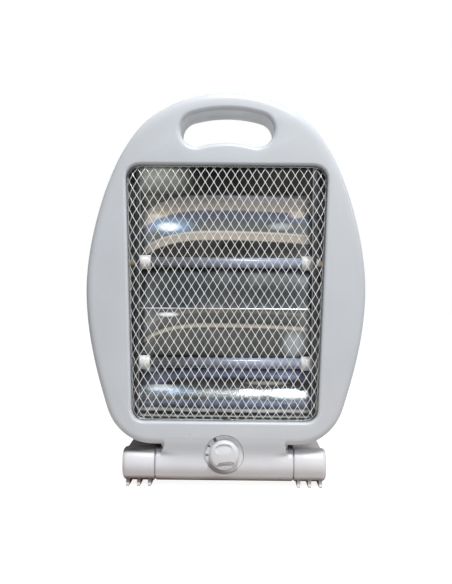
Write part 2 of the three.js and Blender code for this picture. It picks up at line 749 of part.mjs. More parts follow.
place("upper_reflector", trough(REFLECTOR_RIDGE, REFLECTOR_TOP), mirrorSheet);
place("lower_reflector", trough(REFLECTOR_RIDGE, REFLECTOR_BOTTOM), mirrorSheet);

// A folded strip closes the joint between the two troughs.
const stripHalf = STRIP_HEIGHT / 2;
place(
  "reflector_strip",
  box(
    -troughHalf,
    troughHalf,
    RIDGE_DEPTH - STRIP_DEPTH,
    RIDGE_DEPTH + SHEET,
    REFLECTOR_RIDGE - stripHalf,
    REFLECTOR_RIDGE + stripHalf,
  ),
  mirrorSheet,
);

// The heat shield folds round the troughs: a dark panel over the upper one, then back, down and forward again.
const shieldBottom = REFLECTOR_BOTTOM - 3;

function heatShield() {
  const half = troughHalf;
  const panelBottom = REFLECTOR_TOP + 2 * GAP;
  const panel = box(-half, half, SHIELD_PANEL_DEPTH, SHIELD_PANEL_DEPTH + SHEET, panelBottom, SHIELD_TOP);
  const roof = box(-half, half, SHIELD_PANEL_DEPTH, SHIELD_BACK, SHIELD_TOP - SHEET, SHIELD_TOP);
  const back = box(-half, half, SHIELD_BACK - SHEET, SHIELD_BACK, shieldBottom, SHIELD_TOP);
  const floor = box(-half, half, REFLECTOR_FRONT, SHIELD_BACK, shieldBottom, shieldBottom + SHEET);
  return joined(panel, roof, back, floor);
}

place("heat_shield", heatShield(), darkSheet);

const neckHole = CAP_NECK_RADIUS + GAP;
const tubes = [
  ["upper", TUBE_UPPER_HEIGHT],
  ["lower", TUBE_LOWER_HEIGHT],
];

const sidePlateFront = LIP_DEPTH + 2 * GAP;

function sidePlate(side) {
  const inner = SIDE_PLATE_INNER;
  const outer = inner + SHEET;
  const [x0, x1] = side < 0 ? [-outer, -inner] : [inner, outer];
  const plate = box(x0, x1, sidePlateFront, SHIELD_BACK, shieldBottom, SHIELD_TOP);
  const flangeEdge = side * (inner - 3.4);
  const [f0, f1] = [Math.min(flangeEdge, x0), Math.max(flangeEdge, x1)];
  const flange = box(f0, f1, sidePlateFront, sidePlateFront + SHEET, shieldBottom, SHIELD_TOP);
  const tabs = PLATE_SCREWS.map(([, z]) => {
    const end = side * (PLATE_SCREW_REACH + BOSS_RADIUS);
    const [t0, t1] = [Math.min(end, x0), Math.max(end, x1)];
    return box(t0, t1, TAB_DEPTH, TAB_DEPTH + SHEET, z - TAB_WIDTH / 2, z + TAB_WIDTH / 2);
  });
  return cut(
    joined(plate, flange, ...tabs),
    ...tubes.map(([, z]) => rodX(neckHole, x0 - PAST, x1 + PAST, TUBE_DEPTH, z, 16)),
    ...PLATE_SCREWS.map(([, z]) =>
      rodY(pilotRadius, TAB_DEPTH - PAST, TAB_DEPTH + 2 * PAST, side * PLATE_SCREW_REACH, z, SMALL_SIDES),
    ),
  );
}

for (const side of SIDES) place(`${sideName(side)}_side_plate`, sidePlate(side), mirrorSheet);

// ---- Heating tubes: a coil inside a quartz tube, with a ceramic cap and a blade terminal at each end -----------

const capFace = SIDE_PLATE_INNER - GAP; // the cap's shoulder against the side plate
const capInner = capFace - CAP_LENGTH;
const neckEnd = capFace + CAP_NECK_LENGTH;
const coilRadius = TUBE_RADIUS - TUBE_WALL - COIL_CLEARANCE;

function ceramicCap(side, z) {
  const profile = [
    [TUBE_RADIUS + GAP, capInner],
    [CAP_RADIUS - 0.8, capInner],
    [CAP_RADIUS, capInner + 0.8],
    [CAP_RADIUS, capFace],
    [CAP_NECK_RADIUS, capFace],
    [CAP_NECK_RADIUS, neckEnd],
    [1.2, neckEnd],
    [1.2, capInner + CAP_SOCKET_DEPTH],
    [TUBE_RADIUS + GAP, capInner + CAP_SOCKET_DEPTH],
    [TUBE_RADIUS + GAP, capInner],
  ].map(([r, d]) => [r, side * d]);
  return turnedX(profile, TUBE_DEPTH, z, 12);
}

for (const [level, z] of tubes) {
  const glass = ring(TUBE_RADIUS, TUBE_RADIUS - TUBE_WALL, -TUBE_HALF_LENGTH, TUBE_HALF_LENGTH);
  place(`${level}_quartz_tube`, turnedX(glass, TUBE_DEPTH, z, 20), quartz);
  place(
    `${level}_heating_coil`,
    rodX(coilRadius, 1 - TUBE_HALF_LENGTH, TUBE_HALF_LENGTH - 1, TUBE_DEPTH, z, 12),
    heaterWire,
  );
  for (const side of SIDES) {
    const name = `${level}_${sideName(side)}`;
    place(`${name}_ceramic_cap`, ceramicCap(side, z), ceramic);
    const ends = [side * (neckEnd + GAP), side * (neckEnd + GAP + TERMINAL_LENGTH)].sort((a, b) => a - b);
    const half = TERMINAL_WIDTH / 2;
    place(
      `${name}_terminal`,
      box(ends[0], ends[1], TUBE_DEPTH - SHEET / 2, TUBE_DEPTH + SHEET / 2, z - half, z + half),
      brass,
    );
  }
}

// ---- Heat cut-out on the back of the heat shield ---------------------------------------------------------------

const cutoutFront = SHIELD_BACK + GAP;
place(
  "thermal_cutout",
  turnedY(
    [
      [0, cutoutFront],
      [CUTOUT.radius, cutoutFront],
      [CUTOUT.radius, cutoutFront + CUTOUT.height * 0.7],
      [CUTOUT.radius * 0.6, cutoutFront + CUTOUT.height],
      [0, cutoutFront + CUTOUT.height],
    ],
    0,
    CUTOUT.z,
    20,
  ),
  blackPlastic,
);

// ---- Dial, switch and knob --------------------------------------------------------------------------------------

const plateBack = DIAL_FLOOR - GAP;
const plateFront = plateBack - DIAL_PLATE_THICKNESS;
place(
  "dial_plate",
  turnedY(
    ring(DIAL_RADIUS - GAP, SHAFT_RADIUS + 2 * GAP, plateFront, plateBack),
    0,
    DIAL_HEIGHT,
    28,
  ),
  dialPlastic,
);

const switchFront = pocketFront + GAP;
const shaftEnd = switchFront + 6;
place(
  "rotary_switch",
  cut(
    box(
      -SWITCH_SIZE / 2,
      SWITCH_SIZE / 2,
      switchFront,
      SWITCH_BACK,
      DIAL_HEIGHT - SWITCH_SIZE / 2,
      DIAL_HEIGHT + SWITCH_SIZE / 2,
    ),
    rodY(SHAFT_RADIUS + GAP, 0, shaftEnd + GAP, 0, DIAL_HEIGHT, 16),
  ),
  blackPlastic,
);

const shaftFront = SHAFT_SINK - KNOB_PROUD;
place("switch_shaft", rodY(SHAFT_RADIUS, shaftFront, shaftEnd, 0, DIAL_HEIGHT, 16), steel);

function knob() {
  const back = plateFront - GAP;
  const dome = Array.from({ length: 6 }, (_, i) => {
    const angle = ((Math.PI / 2) * i) / 5;
    return [KNOB_RADIUS * Math.cos(angle), -KNOB_PROUD * Math.sin(angle) ** 0.8];
  });
  const blank = turnedY([[0, back], [KNOB_RADIUS, back], ...dome.slice(0, 5), [0, -KNOB_PROUD]], 0, DIAL_HEIGHT);
  const scoopReach = KNOB_RADIUS - KNOB_RIM;
  const scoops = SIDES.map((side) =>
    rodX(
      KNOB_SCOOP_RADIUS,
      -scoopReach,
      scoopReach,
      -KNOB_PROUD - 2,
      DIAL_HEIGHT + side * (KNOB_GRIP_HALF + KNOB_SCOOP_RADIUS - 1.2),
    ),
  );
  const bore = rodY(SHAFT_RADIUS + GAP, shaftFront - GAP, back + PAST, 0, DIAL_HEIGHT, 16);
  return cut(blank, ...scoops, bore);
}

place("knob", knob(), knobPlastic);

// ---- Feet -------------------------------------------------------------------------------------------------------

const footInner = BAR_HALF_LENGTH + FOOT_CLEARANCE;
const legInner = footInner + LEG_INSET;
const legTop = BAR_AXIS_HEIGHT + BAR_RADIUS;

function bothWays(side, a, b) {
  return side < 0 ? [-b, -a] : [a, b];
}

function legSide(shrink, back) {
  const path = new THREE.Path();
  const top = legTop - shrink;
  const bottom = LEG_SKIRT_HEIGHT - (shrink > 0 ? PAST : 0);
  path.moveTo(BAR_AXIS_DEPTH, bottom);
  path.lineTo(back, bottom);
  path.lineTo(back, LEG_NOSE_HEIGHT - shrink);
  path.quadraticCurveTo(back - LEG_NOSE_CURVE, top, LEG_SLOPE_START, top);
  path.lineTo(BAR_AXIS_DEPTH, top);
  return samePoints(path.getPoints(6));
}

function foot(side) {
  const turn = side < 0 ? ([r, d]) => [r, -d] : (pair) => pair;
  const cup = [
    [AXLE_RADIUS + GAP, footInner + 2],
    [AXLE_BOSS_RADIUS, footInner + 2],
    [AXLE_BOSS_RADIUS, FOOT_OUTER - FOOT_DOME - WALL],
    [BAR_RADIUS - WALL, FOOT_OUTER - FOOT_DOME - WALL],
    [BAR_RADIUS - WALL, footInner],
    [BAR_RADIUS, footInner],
    [BAR_RADIUS, FOOT_OUTER - FOOT_DOME - 2],
    ...DOME_EDGE.map(([out, fall]) => [BAR_RADIUS * out, FOOT_OUTER - FOOT_DOME * fall]),
    [0, FOOT_OUTER],
    [0, FOOT_OUTER - FOOT_DOME - WALL + GAP],
    [AXLE_RADIUS + GAP, FOOT_OUTER - FOOT_DOME - WALL + GAP],
    [AXLE_RADIUS + GAP, footInner + 2],
  ].map(turn);
  const barrel = turnedX(cup, BAR_AXIS_DEPTH, BAR_AXIS_HEIGHT);
  const barrelSpace = rodX(
    BAR_RADIUS - PAST / 2,
    ...bothWays(side, footInner - PAST, FOOT_OUTER - FOOT_DOME - WALL / 2),
    BAR_AXIS_DEPTH,
    BAR_AXIS_HEIGHT,
  );
  const leg = cut(
    prismX(legSide(0, LEG_BACK), ...bothWays(side, legInner, LEG_OUTER)),
    cut(
      prismX(legSide(LEG_WALL, LEG_BACK - LEG_WALL), ...bothWays(side, legInner + LEG_WALL, LEG_OUTER - LEG_WALL)),
      box(-LEG_BACK, LEG_BACK, 0, BAR_AXIS_DEPTH + BAR_RADIUS - 2, -PAST, legTop),
    ),
    barrelSpace,
  );
  const ribTop = legTop - 2 * LEG_WALL - 1;
  const ribBack = LEG_BACK - LEG_WALL;
  const ribs = RIB_PLACES.map((x) => {
    const outline = [
      new THREE.Vector2(RIB_TOE, 0),
      new THREE.Vector2(ribBack, 0),
      new THREE.Vector2(ribBack, LEG_NOSE_HEIGHT - LEG_WALL),
      new THREE.Vector2(RIB_TOP_END, ribTop),
      new THREE.Vector2(RIB_FRONT, ribTop),
      new THREE.Vector2(RIB_FRONT, RIB_TOE_HEIGHT),
    ];
    const centre = side * x;
    return cut(prismX(outline, centre - RIB_THICKNESS / 2, centre + RIB_THICKNESS / 2), barrelSpace);
  });
  const webs = [STOP_ANGLE - STOP_CLEARANCE_ANGLE, STOP_ANGLE + FOLD_ANGLE + STOP_CLEARANCE_ANGLE].map((angle) =>
    stopArm(side, angle, AXLE_BOSS_RADIUS - 1, BAR_RADIUS - WALL / 2, footInner + 2, FOOT_OUTER - FOOT_DOME - 2),
  );
  return joined(barrel, leg, ...ribs, ...webs);
}

// Each foot turns on a steel pin that is pressed into it, and a spring washer and a clip hold it inside the bar.
const washerFace = barInner - GAP;
const clipFace = washerFace - 1 - GAP;
const axleEnd = clipFace - 2;

for (const side of SIDES) {
  const name = sideName(side);
  const along = (from, to) => bothWays(side, from, to);
  const onAxis = (outer, from, to) =>
    turnedX(
      ring(outer, AXLE_RADIUS + GAP, from, to).map(([r, d]) => [r, side * d]),
      BAR_AXIS_DEPTH,
      BAR_AXIS_HEIGHT,
      16,
    );
  place(`${name}_foot`, foot(side), whitePlastic);
  place(
    `${name}_foot_axle`,
    rodX(AXLE_RADIUS, ...along(axleEnd, FOOT_OUTER - FOOT_DOME - WALL), BAR_AXIS_DEPTH, BAR_AXIS_HEIGHT, 16),
    steel,
  );
  place(`${name}_foot_washer`, onAxis(7, washerFace - 1, washerFace), steel);
  place(`${name}_foot_clip`, onAxis(5, clipFace - 1, clipFace), steel);
}

// ---- Tip-over switch: a weighted arm that hangs in a small case --------------------------------------------------

const tiltFloor = wallFloor + GAP;
const tiltTop = tiltFloor + TILT_BOX.height;
const pivotHeight = tiltTop - TILT_BOX.wall - 2.4;

function tiltCase() {
  const { x, y, width, depth, wall } = TILT_BOX;
  const outer = box(x - width / 2, x + width / 2, y - depth / 2, y + depth / 2, tiltFloor, tiltTop);
  const room = box(
    x - width / 2 + wall,
    x + width / 2 - wall,
    y - depth / 2 - PAST,
    y + depth / 2 - wall,
    tiltFloor + wall,
    tiltTop - wall,
  );
  const pivotHole = rodX(PENDULUM.pivotRadius + GAP, x - width, x + width, y, pivotHeight, SMALL_SIDES);
  return cut(outer, room, pivotHole);
}

function pendulum() {
  const { x, y, width } = TILT_BOX;
  const { pivotRadius, armLength, bobRadius, bobWidth } = PENDULUM;
  const bobHeight = pivotHeight - armLength;
  return joined(
    rodX(pivotRadius, x - width / 2 + GAP, x + width / 2 - GAP, y, pivotHeight, SMALL_SIDES),
    box(x - 1.5, x + 1.5, y - 0.8, y + 0.8, bobHeight, pivotHeight),
    rodX(bobRadius, x - bobWidth / 2, x + bobWidth / 2, y, bobHeight, 14),
  );
}

place("tilt_switch_case", tiltCase(), blackPlastic);
place("tilt_pendulum", pendulum(), brass);

// ---- Terminal block, leads and the cord's inlet -------------------------------------------------------------------

const blockFloor = wallFloor + GAP;
const blockTop = blockFloor + TERMINAL_BLOCK.height;

function terminalBlock() {
  const { x, y, width, depth } = TERMINAL_BLOCK;
  const block = box(x - width / 2, x + width / 2, y - depth / 2, y + depth / 2, blockFloor, blockTop);
  const middle = (blockFloor + blockTop) / 2;
  const ports = [-1, 0, 1].map((step) =>
    rodY(TERMINAL_BLOCK.port, y - depth, y + depth, x + (step * width) / 3, middle, SMALL_SIDES),
  );
  return cut(block, ...ports);
}

place("terminal_block", terminalBlock(), ceramic);

const terminalReach = neckEnd + GAP + TERMINAL_LENGTH / 2;
const terminalHalf = TERMINAL_WIDTH / 2 + GAP;
const leadLevel = shieldBottom - 3.4;

function lead(name, points, steps) {
  const route = new THREE.CatmullRomCurve3(points.map((p) => new THREE.Vector3(...p)), false, "centripetal");
  const section = new THREE.Shape();
  section.absarc(0, 0, LEAD_RADIUS, 0, 2 * Math.PI, false);
  const options = { steps, extrudePath: route, curveSegments: 3, bevelEnabled: false };
  place(name, solidOf(new THREE.ExtrudeGeometry(section, options)), leadSleeve);
}

lead(
  "tube_link_lead",
  [
    [-terminalReach, TUBE_DEPTH, TUBE_LOWER_HEIGHT + terminalHalf],
    [-terminalReach, TUBE_DEPTH, TUBE_UPPER_HEIGHT - terminalHalf],
  ],
  2,
);
lead(
  "supply_lead",
  [
    [TERMINAL_BLOCK.x, TERMINAL_BLOCK.y, blockTop + GAP],
    [TERMINAL_BLOCK.x, TERMINAL_BLOCK.y, blockTop + 3],
    [TERMINAL_BLOCK.x - 8, TUBE_DEPTH, leadLevel],
    [-terminalReach + 6, TUBE_DEPTH, leadLevel],
    [-terminalReach, TUBE_DEPTH, leadLevel + 6],
    [-terminalReach, TUBE_DEPTH, TUBE_LOWER_HEIGHT - terminalHalf],
  ],
  16,
);

const leadStart = SWITCH_BACK + GAP;
lead(
  "lower_tube_lead",
  [
    [7, leadStart, DIAL_HEIGHT + 4],
    [7, leadStart + 3, DIAL_HEIGHT + 5],
    [8, leadStart + 4, wallFloor + 4],
    [16, leadStart + 2, leadLevel],
    [terminalReach - 6, TUBE_DEPTH - 4, leadLevel],
    [terminalReach, TUBE_DEPTH, leadLevel + 8],
    [terminalReach, TUBE_DEPTH, TUBE_LOWER_HEIGHT - terminalHalf],
  ],
  20,
);
lead(
  "upper_tube_lead",
  [
    [-2, leadStart, DIAL_HEIGHT + 4],
    [-2, leadStart + 3, DIAL_HEIGHT + 5],
    [-1, leadStart + 4, wallFloor + 4],
    [14, leadStart - 3, leadLevel],
    [terminalReach - 6, leadStart - 2, leadLevel],
    [terminalReach + 4, TUBE_DEPTH, leadLevel + 14],
    [terminalReach + 7, TUBE_DEPTH + 2, TUBE_LOWER_HEIGHT],
    [terminalReach + 4, TUBE_DEPTH, TUBE_UPPER_HEIGHT - 30],
    [terminalReach, TUBE_DEPTH, TUBE_UPPER_HEIGHT - 8],
    [terminalReach, TUBE_DEPTH, TUBE_UPPER_HEIGHT - terminalHalf],
  ],
  28,
);

const inletFront = BODY_DEPTH - WALL - GAP - INLET.lip;
place(
  "cord_inlet",
  turnedY(
    [
      [INLET.bore, inletFront],
      [INLET.flange - 0.5, inletFront],
      [INLET.flange - 0.5, inletFront + INLET.lip],
      [INLET.neck, inletFront + INLET.lip],
      [INLET.neck, BODY_DEPTH + GAP],
      [INLET.flange, BODY_DEPTH + GAP],
      [INLET.flange, BODY_DEPTH + GAP + INLET.lip * 0.6],
      [INLET.flange - 1.2, BODY_DEPTH + GAP + INLET.lip],
      [INLET.bore, BODY_DEPTH + GAP + INLET.lip],
      [INLET.bore, inletFront],
    ],
    INLET.x,
    INLET.z,
    16,
  ),
  rubber,
);

// The origin is under the middle of the whole depth, from the front of the knob to the back of the feet.
heater.position.y = (KNOB_PROUD - LEG_BACK) / 2;

export default heater;
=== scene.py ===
import math

import bmesh
import bpy
import numpy as np
from mathutils import Matrix, Vector


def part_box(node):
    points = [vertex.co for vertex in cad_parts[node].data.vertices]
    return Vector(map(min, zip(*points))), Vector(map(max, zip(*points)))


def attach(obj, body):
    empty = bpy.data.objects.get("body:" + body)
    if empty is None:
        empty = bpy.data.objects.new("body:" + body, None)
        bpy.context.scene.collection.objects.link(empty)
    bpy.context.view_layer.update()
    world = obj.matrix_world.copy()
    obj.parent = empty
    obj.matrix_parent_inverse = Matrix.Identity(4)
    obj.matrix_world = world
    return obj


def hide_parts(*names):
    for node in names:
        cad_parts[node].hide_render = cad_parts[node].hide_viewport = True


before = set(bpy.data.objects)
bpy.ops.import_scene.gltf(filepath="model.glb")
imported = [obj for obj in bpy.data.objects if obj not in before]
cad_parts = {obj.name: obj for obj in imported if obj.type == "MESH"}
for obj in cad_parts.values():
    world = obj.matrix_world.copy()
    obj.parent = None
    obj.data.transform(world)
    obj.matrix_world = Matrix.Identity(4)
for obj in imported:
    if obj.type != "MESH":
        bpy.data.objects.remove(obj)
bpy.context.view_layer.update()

# ---- Front shell -------------------------------------------------------------------------------------
# The front half of the housing: a shallow oval tray injection-moulded in cool white polypropylene, with the
# handle slot, the window for the guard, the front of the base bar and the dial's recess moulded in one
# piece. Six screws from the back hold it to the rear shell, and its rim rolls over into the sides.

MM = 0.001
shell_low, shell_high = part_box("front_shell")
FACE = shell_low.y  # drawing depths run back from the housing's face, in millimetres
BODY_HALF = shell_high.x / MM
BODY_TOP = shell_high.z / MM
BODY_BOTTOM = 39.3
BODY_EDGE = [  # from the end of the flat base to the top, as shares of the half width and of the height
    (0.4358, 0), (0.5924, 0.0032), (0.716, 0.027), (0.8152, 0.0727), (0.8753, 0.1432), (0.935, 0.2326),
    (0.9826, 0.3355), (1, 0.4438), (0.9779, 0.5451), (0.9234, 0.6491), (0.8429, 0.7496), (0.7274, 0.8451),
    (0.5551, 0.9282), (0.2776, 0.9852), (0, 1),
]
FRONT_DEPTH = (shell_high.y - FACE) / MM
WALL = 2.5
BAR_DEPTH, BAR_HEIGHT, BAR_RADIUS = 17.0, 19.5, 15.75
BAR_END, BAR_EDGE = 65.2, 2.4
DIAL_HEIGHT, DIAL_RADIUS, DIAL_RIM, DIAL_FRONT, DIAL_FLOOR = 30.4, 18.1, 2.4, 1.3, 4.0
SLOT_TOP, SLOT_HALF_HEIGHT, SLOT_ARCH, SLOT_SPAN = 352.4, 15.3, 104.0, 28.3
SLOT_EDGE = 4.6
WINDOW_LOW, WINDOW_HIGH, WINDOW_LOW_HALF, WINDOW_HIGH_HALF = 61.0, 301.0, 86.9, 94.8
WINDOW_EDGE, SLEEVE_DEPTH = 2.8, 12.6
PIN_HOLE, SCREW_BORE, SCREW_PILOT = 3.3, 3.3, 1.6
SHELL_SCREWS = [("upper", 72.0, 311.0), ("middle", 113.0, 190.0), ("lower", 78.0, 51.5)]
SIDES = {"left": -1, "right": 1}


def solid(name, points, faces):
    """A closed mesh from points of x, drawing depth and height in millimetres."""
    places = np.asarray(points, float) * MM
    places[:, 1] += FACE
    mesh = bpy.data.meshes.new(name)
    mesh.from_pydata(places.tolist(), [], faces)
    work = bmesh.new()
    work.from_mesh(mesh)
    bmesh.ops.remove_doubles(work, verts=work.verts, dist=1e-7)
    bmesh.ops.recalc_face_normals(work, faces=work.faces)
    work.to_mesh(mesh)
    work.free()
    made = bpy.data.objects.new(name, mesh)
    bpy.context.scene.collection.objects.link(made)
    return made


def skin(name, rings):
    """A closed mesh over rings of equal count, with a flat end on the first and the last."""
    count, last = len(rings[0]), len(rings) - 1
    faces = [
        (s * count + i, s * count + (i + 1) % count, (s + 1) * count + (i + 1) % count, (s + 1) * count + i)
        for s in range(last)
        for i in range(count)
    ]
    faces += [tuple(range(count)), tuple(range(last * count, (last + 1) * count))]
    return solid(name, np.concatenate(rings), faces)


def worked(piece, tool, *others):
    """The piece after it is joined with (UNION) or cut by (DIFFERENCE) the others, which are used up."""
    for other in others:
        change = piece.modifiers.new(tool, "BOOLEAN")
        change.operation, change.object, change.solver = tool, other, "MANIFOLD"
    depsgraph = bpy.context.evaluated_depsgraph_get()
    result = bpy.data.meshes.new_from_object(piece.evaluated_get(depsgraph))
    piece.modifiers.clear()
    piece.data = result
    for other in others:
        bpy.data.objects.remove(other)
    return piece


def bezier(controls, steps):
    """A curve drawn towards its controls, without its last point."""
    t = np.linspace(0, 1, steps, endpoint=False)[:, None]
    n = len(controls) - 1
    return sum(math.comb(n, k) * (1 - t) ** (n - k) * t**k * np.array(c) for k, c in enumerate(controls))


def arc(x, z, radius, start, end, steps):
    """Points round a centre, between two bearings in degrees."""
    a = np.radians(np.linspace(start, end, steps))
    return np.column_stack([x + radius * np.cos(a), z + radius * np.sin(a)])


def evenly(edge, count):
    """The closed outline again, as this many points at equal steps."""
    loop = np.vstack([edge, edge[:1]])
    run = np.concatenate([[0], np.cumsum(np.hypot(*np.diff(loop, axis=0).T))])
    at = np.linspace(0, run[-1], count, endpoint=False)
    return np.column_stack([np.interp(at, run, loop[:, 0]), np.interp(at, run, loop[:, 1])])


def unit(v):
    """The same directions, each one long."""
    return v / np.maximum(np.linalg.norm(v, axis=-1, keepdims=True), 1e-12)


def drawn_in(edge, distance):
    """The closed outline moved inwards by a distance, or by one for each point."""
    a, b = unit(edge - np.roll(edge, 1, 0)), unit(np.roll(edge, -1, 0) - edge)
    inward = unit(np.column_stack([-(a + b)[:, 1], (a + b)[:, 0]]))
    lean = (inward * np.column_stack([-a[:, 1], a[:, 0]])).sum(1)
    return edge + inward * (distance / np.maximum(0.5, lean))[:, None]


def upright(edge, stations):
    """Rings of the outline at stations of (inset, depth)."""
    return [
        np.column_stack([ring[:, 0], np.full(len(ring), depth), ring[:, 1]])
        for inset, depth in stations
        for ring in [drawn_in(edge, inset)]
    ]


def quarter(radius, steps):
    """Stations of a quarter round, from a full inset at no depth to no inset."""
    a = np.linspace(0, math.pi / 2, steps + 1)
    return list(zip(radius * (1 - np.sin(a)), radius * (1 - np.cos(a))))


def flared(name, edge, radius, mouth, far):
    """A cutter for a hole whose mouth is rounded over."""
    way = 1 if far > mouth else -1
    flare = [(-inset, mouth + way * depth) for inset, depth in quarter(radius, 9)]
    return skin(name, upright(edge, [(-radius, mouth - way), *flare, (0, far)]))


def turned(name, profile, axis, centre, sides=64):
    """A profile of (radius, distance) turned about a line along axis 0 (x) or 1 (depth) through centre."""
    a = np.linspace(0, 2 * math.pi, sides, endpoint=False)
    points = []
    for radius, distance in profile:
        ring = np.zeros((sides, 3))
        others = [k for k in range(3) if k != axis]
        ring[:, axis] = distance
        ring[:, others[0]] = radius * np.cos(a)
        ring[:, others[1]] = radius * np.sin(a)
        points.append(ring + np.array(centre))
    count = len(profile)
    faces = [
        (j * sides + i, j * sides + (i + 1) % sides, k * sides + (i + 1) % sides, k * sides + i)
        for j in range(count)
        for k in [(j + 1) % count]
        if profile[j][0] + profile[k][0] > 1e-6
        for i in range(sides)
    ]
    return solid(name, np.concatenate(points), faces)


def rod(name, radius, x, height, near, far, sides=40):
    """A plain round tool along the depth."""
    return turned(name, [(0, near), (radius, near), (radius, far), (0, far)], 1, (x, 0, height), sides)


def block(name, low, high):
    """A square-edged tool between two corners."""
    (x0, y0, z0), (x1, y1, z1) = low, high
    rings = [np.array([(x0, y, z0), (x1, y, z0), (x1, y, z1), (x0, y, z1)], float) for y in (y0, y1)]
    return skin(name, rings)


def smoothstep(low, high, value):
    """0 before low and 1 past high, with a soft change between."""
    t = np.clip((value - low) / (high - low), 0, 1)
    return t * t * (3 - 2 * t)


def through(points, steps):
    """A smooth closed curve through the points."""
    a, b, c, d = (np.roll(points, shift, 0)[:, None] for shift in (1, 0, -1, -2))
    t = np.linspace(0, 1, steps, endpoint=False)[None, :, None]
    curve = (2 * b + (c - a) * t + (2 * a - 5 * b + 4 * c - d) * t**2 + (3 * b - a - 3 * c + d) * t**3) / 2
    return curve.reshape(-1, 2)


def body_edge():
    """The housing's oval on its short flat base."""
    base = BODY_EDGE[0][0]
    right = np.array([(0, 0), (base / 3, 0), (base * 2 / 3, 0), *BODY_EDGE])
    both = np.vstack([right, right[-2:0:-1] * np.array([-1, 1])])
    edge = through(both, 24) * np.array([BODY_HALF, BODY_TOP - BODY_BOTTOM]) + np.array([0, BODY_BOTTOM])
    edge = evenly(edge, 420)
    for _ in range(8):
        edge = (np.roll(edge, 1, 0) + 2 * edge + np.roll(edge, -1, 0)) / 4
    return edge * np.array([BODY_HALF / edge[:, 0].max(), 1])


def slot_edge():
    """The handle's opening: a band bent to an arch, with round ends."""
    tilt = math.degrees(math.asin(SLOT_SPAN / SLOT_ARCH))
    middle = SLOT_TOP - SLOT_HALF_HEIGHT - SLOT_ARCH
    end = middle + SLOT_ARCH * math.cos(math.radians(tilt))
    edge = np.vstack([
        arc(SLOT_SPAN, end, SLOT_HALF_HEIGHT, -90 - tilt, 90 - tilt, 40)[:-1],
        arc(0, middle, SLOT_ARCH + SLOT_HALF_HEIGHT, 90 - tilt, 90 + tilt, 40)[:-1],
        arc(-SLOT_SPAN, end, SLOT_HALF_HEIGHT, 90 + tilt, 270 + tilt, 40)[:-1],
        arc(0, middle, SLOT_ARCH - SLOT_HALF_HEIGHT, 90 + tilt, 90 - tilt, 40)[:-1],
    ])
    return evenly(edge, 160)


def window_half(z):
    """Half the window's width at a height."""
    share = (z - WINDOW_LOW) / (WINDOW_HIGH - WINDOW_LOW)
    return WINDOW_LOW_HALF + (WINDOW_HIGH_HALF - WINDOW_LOW_HALF) * share


def window_edge(inset=0.0, high_corner=16.0, low_corner=12.0, count=320):
    """The window's outline, a little narrower at the bottom, with round corners."""
    high, low = WINDOW_HIGH - inset, WINDOW_LOW + inset
    top, bottom = window_half(high) - inset, window_half(low) - inset
    side_top, side_bottom = window_half(high - high_corner) - inset, window_half(low + low_corner) - inset
    right = np.vstack([
        bezier([(0, low), (bottom - low_corner, low)], 60),
        bezier([(bottom - low_corner, low), (bottom, low), (side_bottom, low + low_corner)], 24),
        bezier([(side_bottom, low + low_corner), (side_top, high - high_corner)], 120),
        bezier([(side_top, high - high_corner), (top, high), (top - high_corner, high)], 24),
        bezier([(top - high_corner, high), (0, high)], 60),
    ])
    left = np.vstack([[(0, high)], right[:0:-1] * np.array([-1, 1])])
    return evenly(np.vstack([right, left]), count)


def end_round(x):
    """How far the bar's round is drawn in towards its ends."""
    u = max(0.0, (abs(x) - BAR_END + BAR_EDGE) / BAR_EDGE)
    return BAR_EDGE * (1 - math.sqrt(max(0.0, 1 - min(1.0, u) ** 2)))


def bar_stations(end):
    """Places along the bar, close together at the notches and at the rounded ends."""
    middle = np.linspace(0, 53, 36)
    blend = np.linspace(53.6, 64.0, 36)
    tip = BAR_END - BAR_EDGE * (1 - np.sin(np.linspace(0, math.pi / 2, 7)))
    half = np.unique(np.concatenate([middle, blend, tip[tip < end], [end]]).round(4))
    return np.concatenate([-half[:0:-1], half])


FRONT_CROWN = [
    (7.5, 0), (5.8, 0.1), (4.2, 0.42), (2.9, 0.95), (1.9, 1.7), (1.1, 2.7), (0.5, 4.1), (0.12, 6), (0, 8),
]
NECK = [(1.25, BAR_HEIGHT), (1.25, 26.0), (3.4, 28.0), (2.4, 36.0), (0.1, 37.0), (-0.06, 44.0), (0.04, 50.0)]
NOTCH_END, NOTCH_HEIGHT, NOTCH_HALF = 58.0, 36.4, 2.6


def notch_share(x, height):
    """1 on the neck and 0 on the bar's free end: a round-ended notch high up that runs out lower down."""
    low = smoothstep(34.2, 28.5, height)
    end = NOTCH_END + 1.3 * np.clip((height - NOTCH_HEIGHT) / NOTCH_HALF, -1, 1) ** 2
    return 1 - smoothstep(end - 0.9 - 20.0 * low, end + 0.9 + 4.4 * low, abs(x))


def notch_mouth(x, height):
    """How far the neck falls back beside the notch, to follow the round of the housing's lower edge."""
    insets, depths = np.array(FRONT_CROWN).T
    follow = np.interp(np.maximum(height - BODY_BOTTOM, 0.6), insets[::-1], depths[::-1])
    return follow * smoothstep(55.6, 58.6, abs(x)) * smoothstep(35.5, 38.5, height)


def standing_at(x, profile):
    """A ring across the heater from a profile of depth and height."""
    return np.column_stack([np.full(len(profile), x), profile])


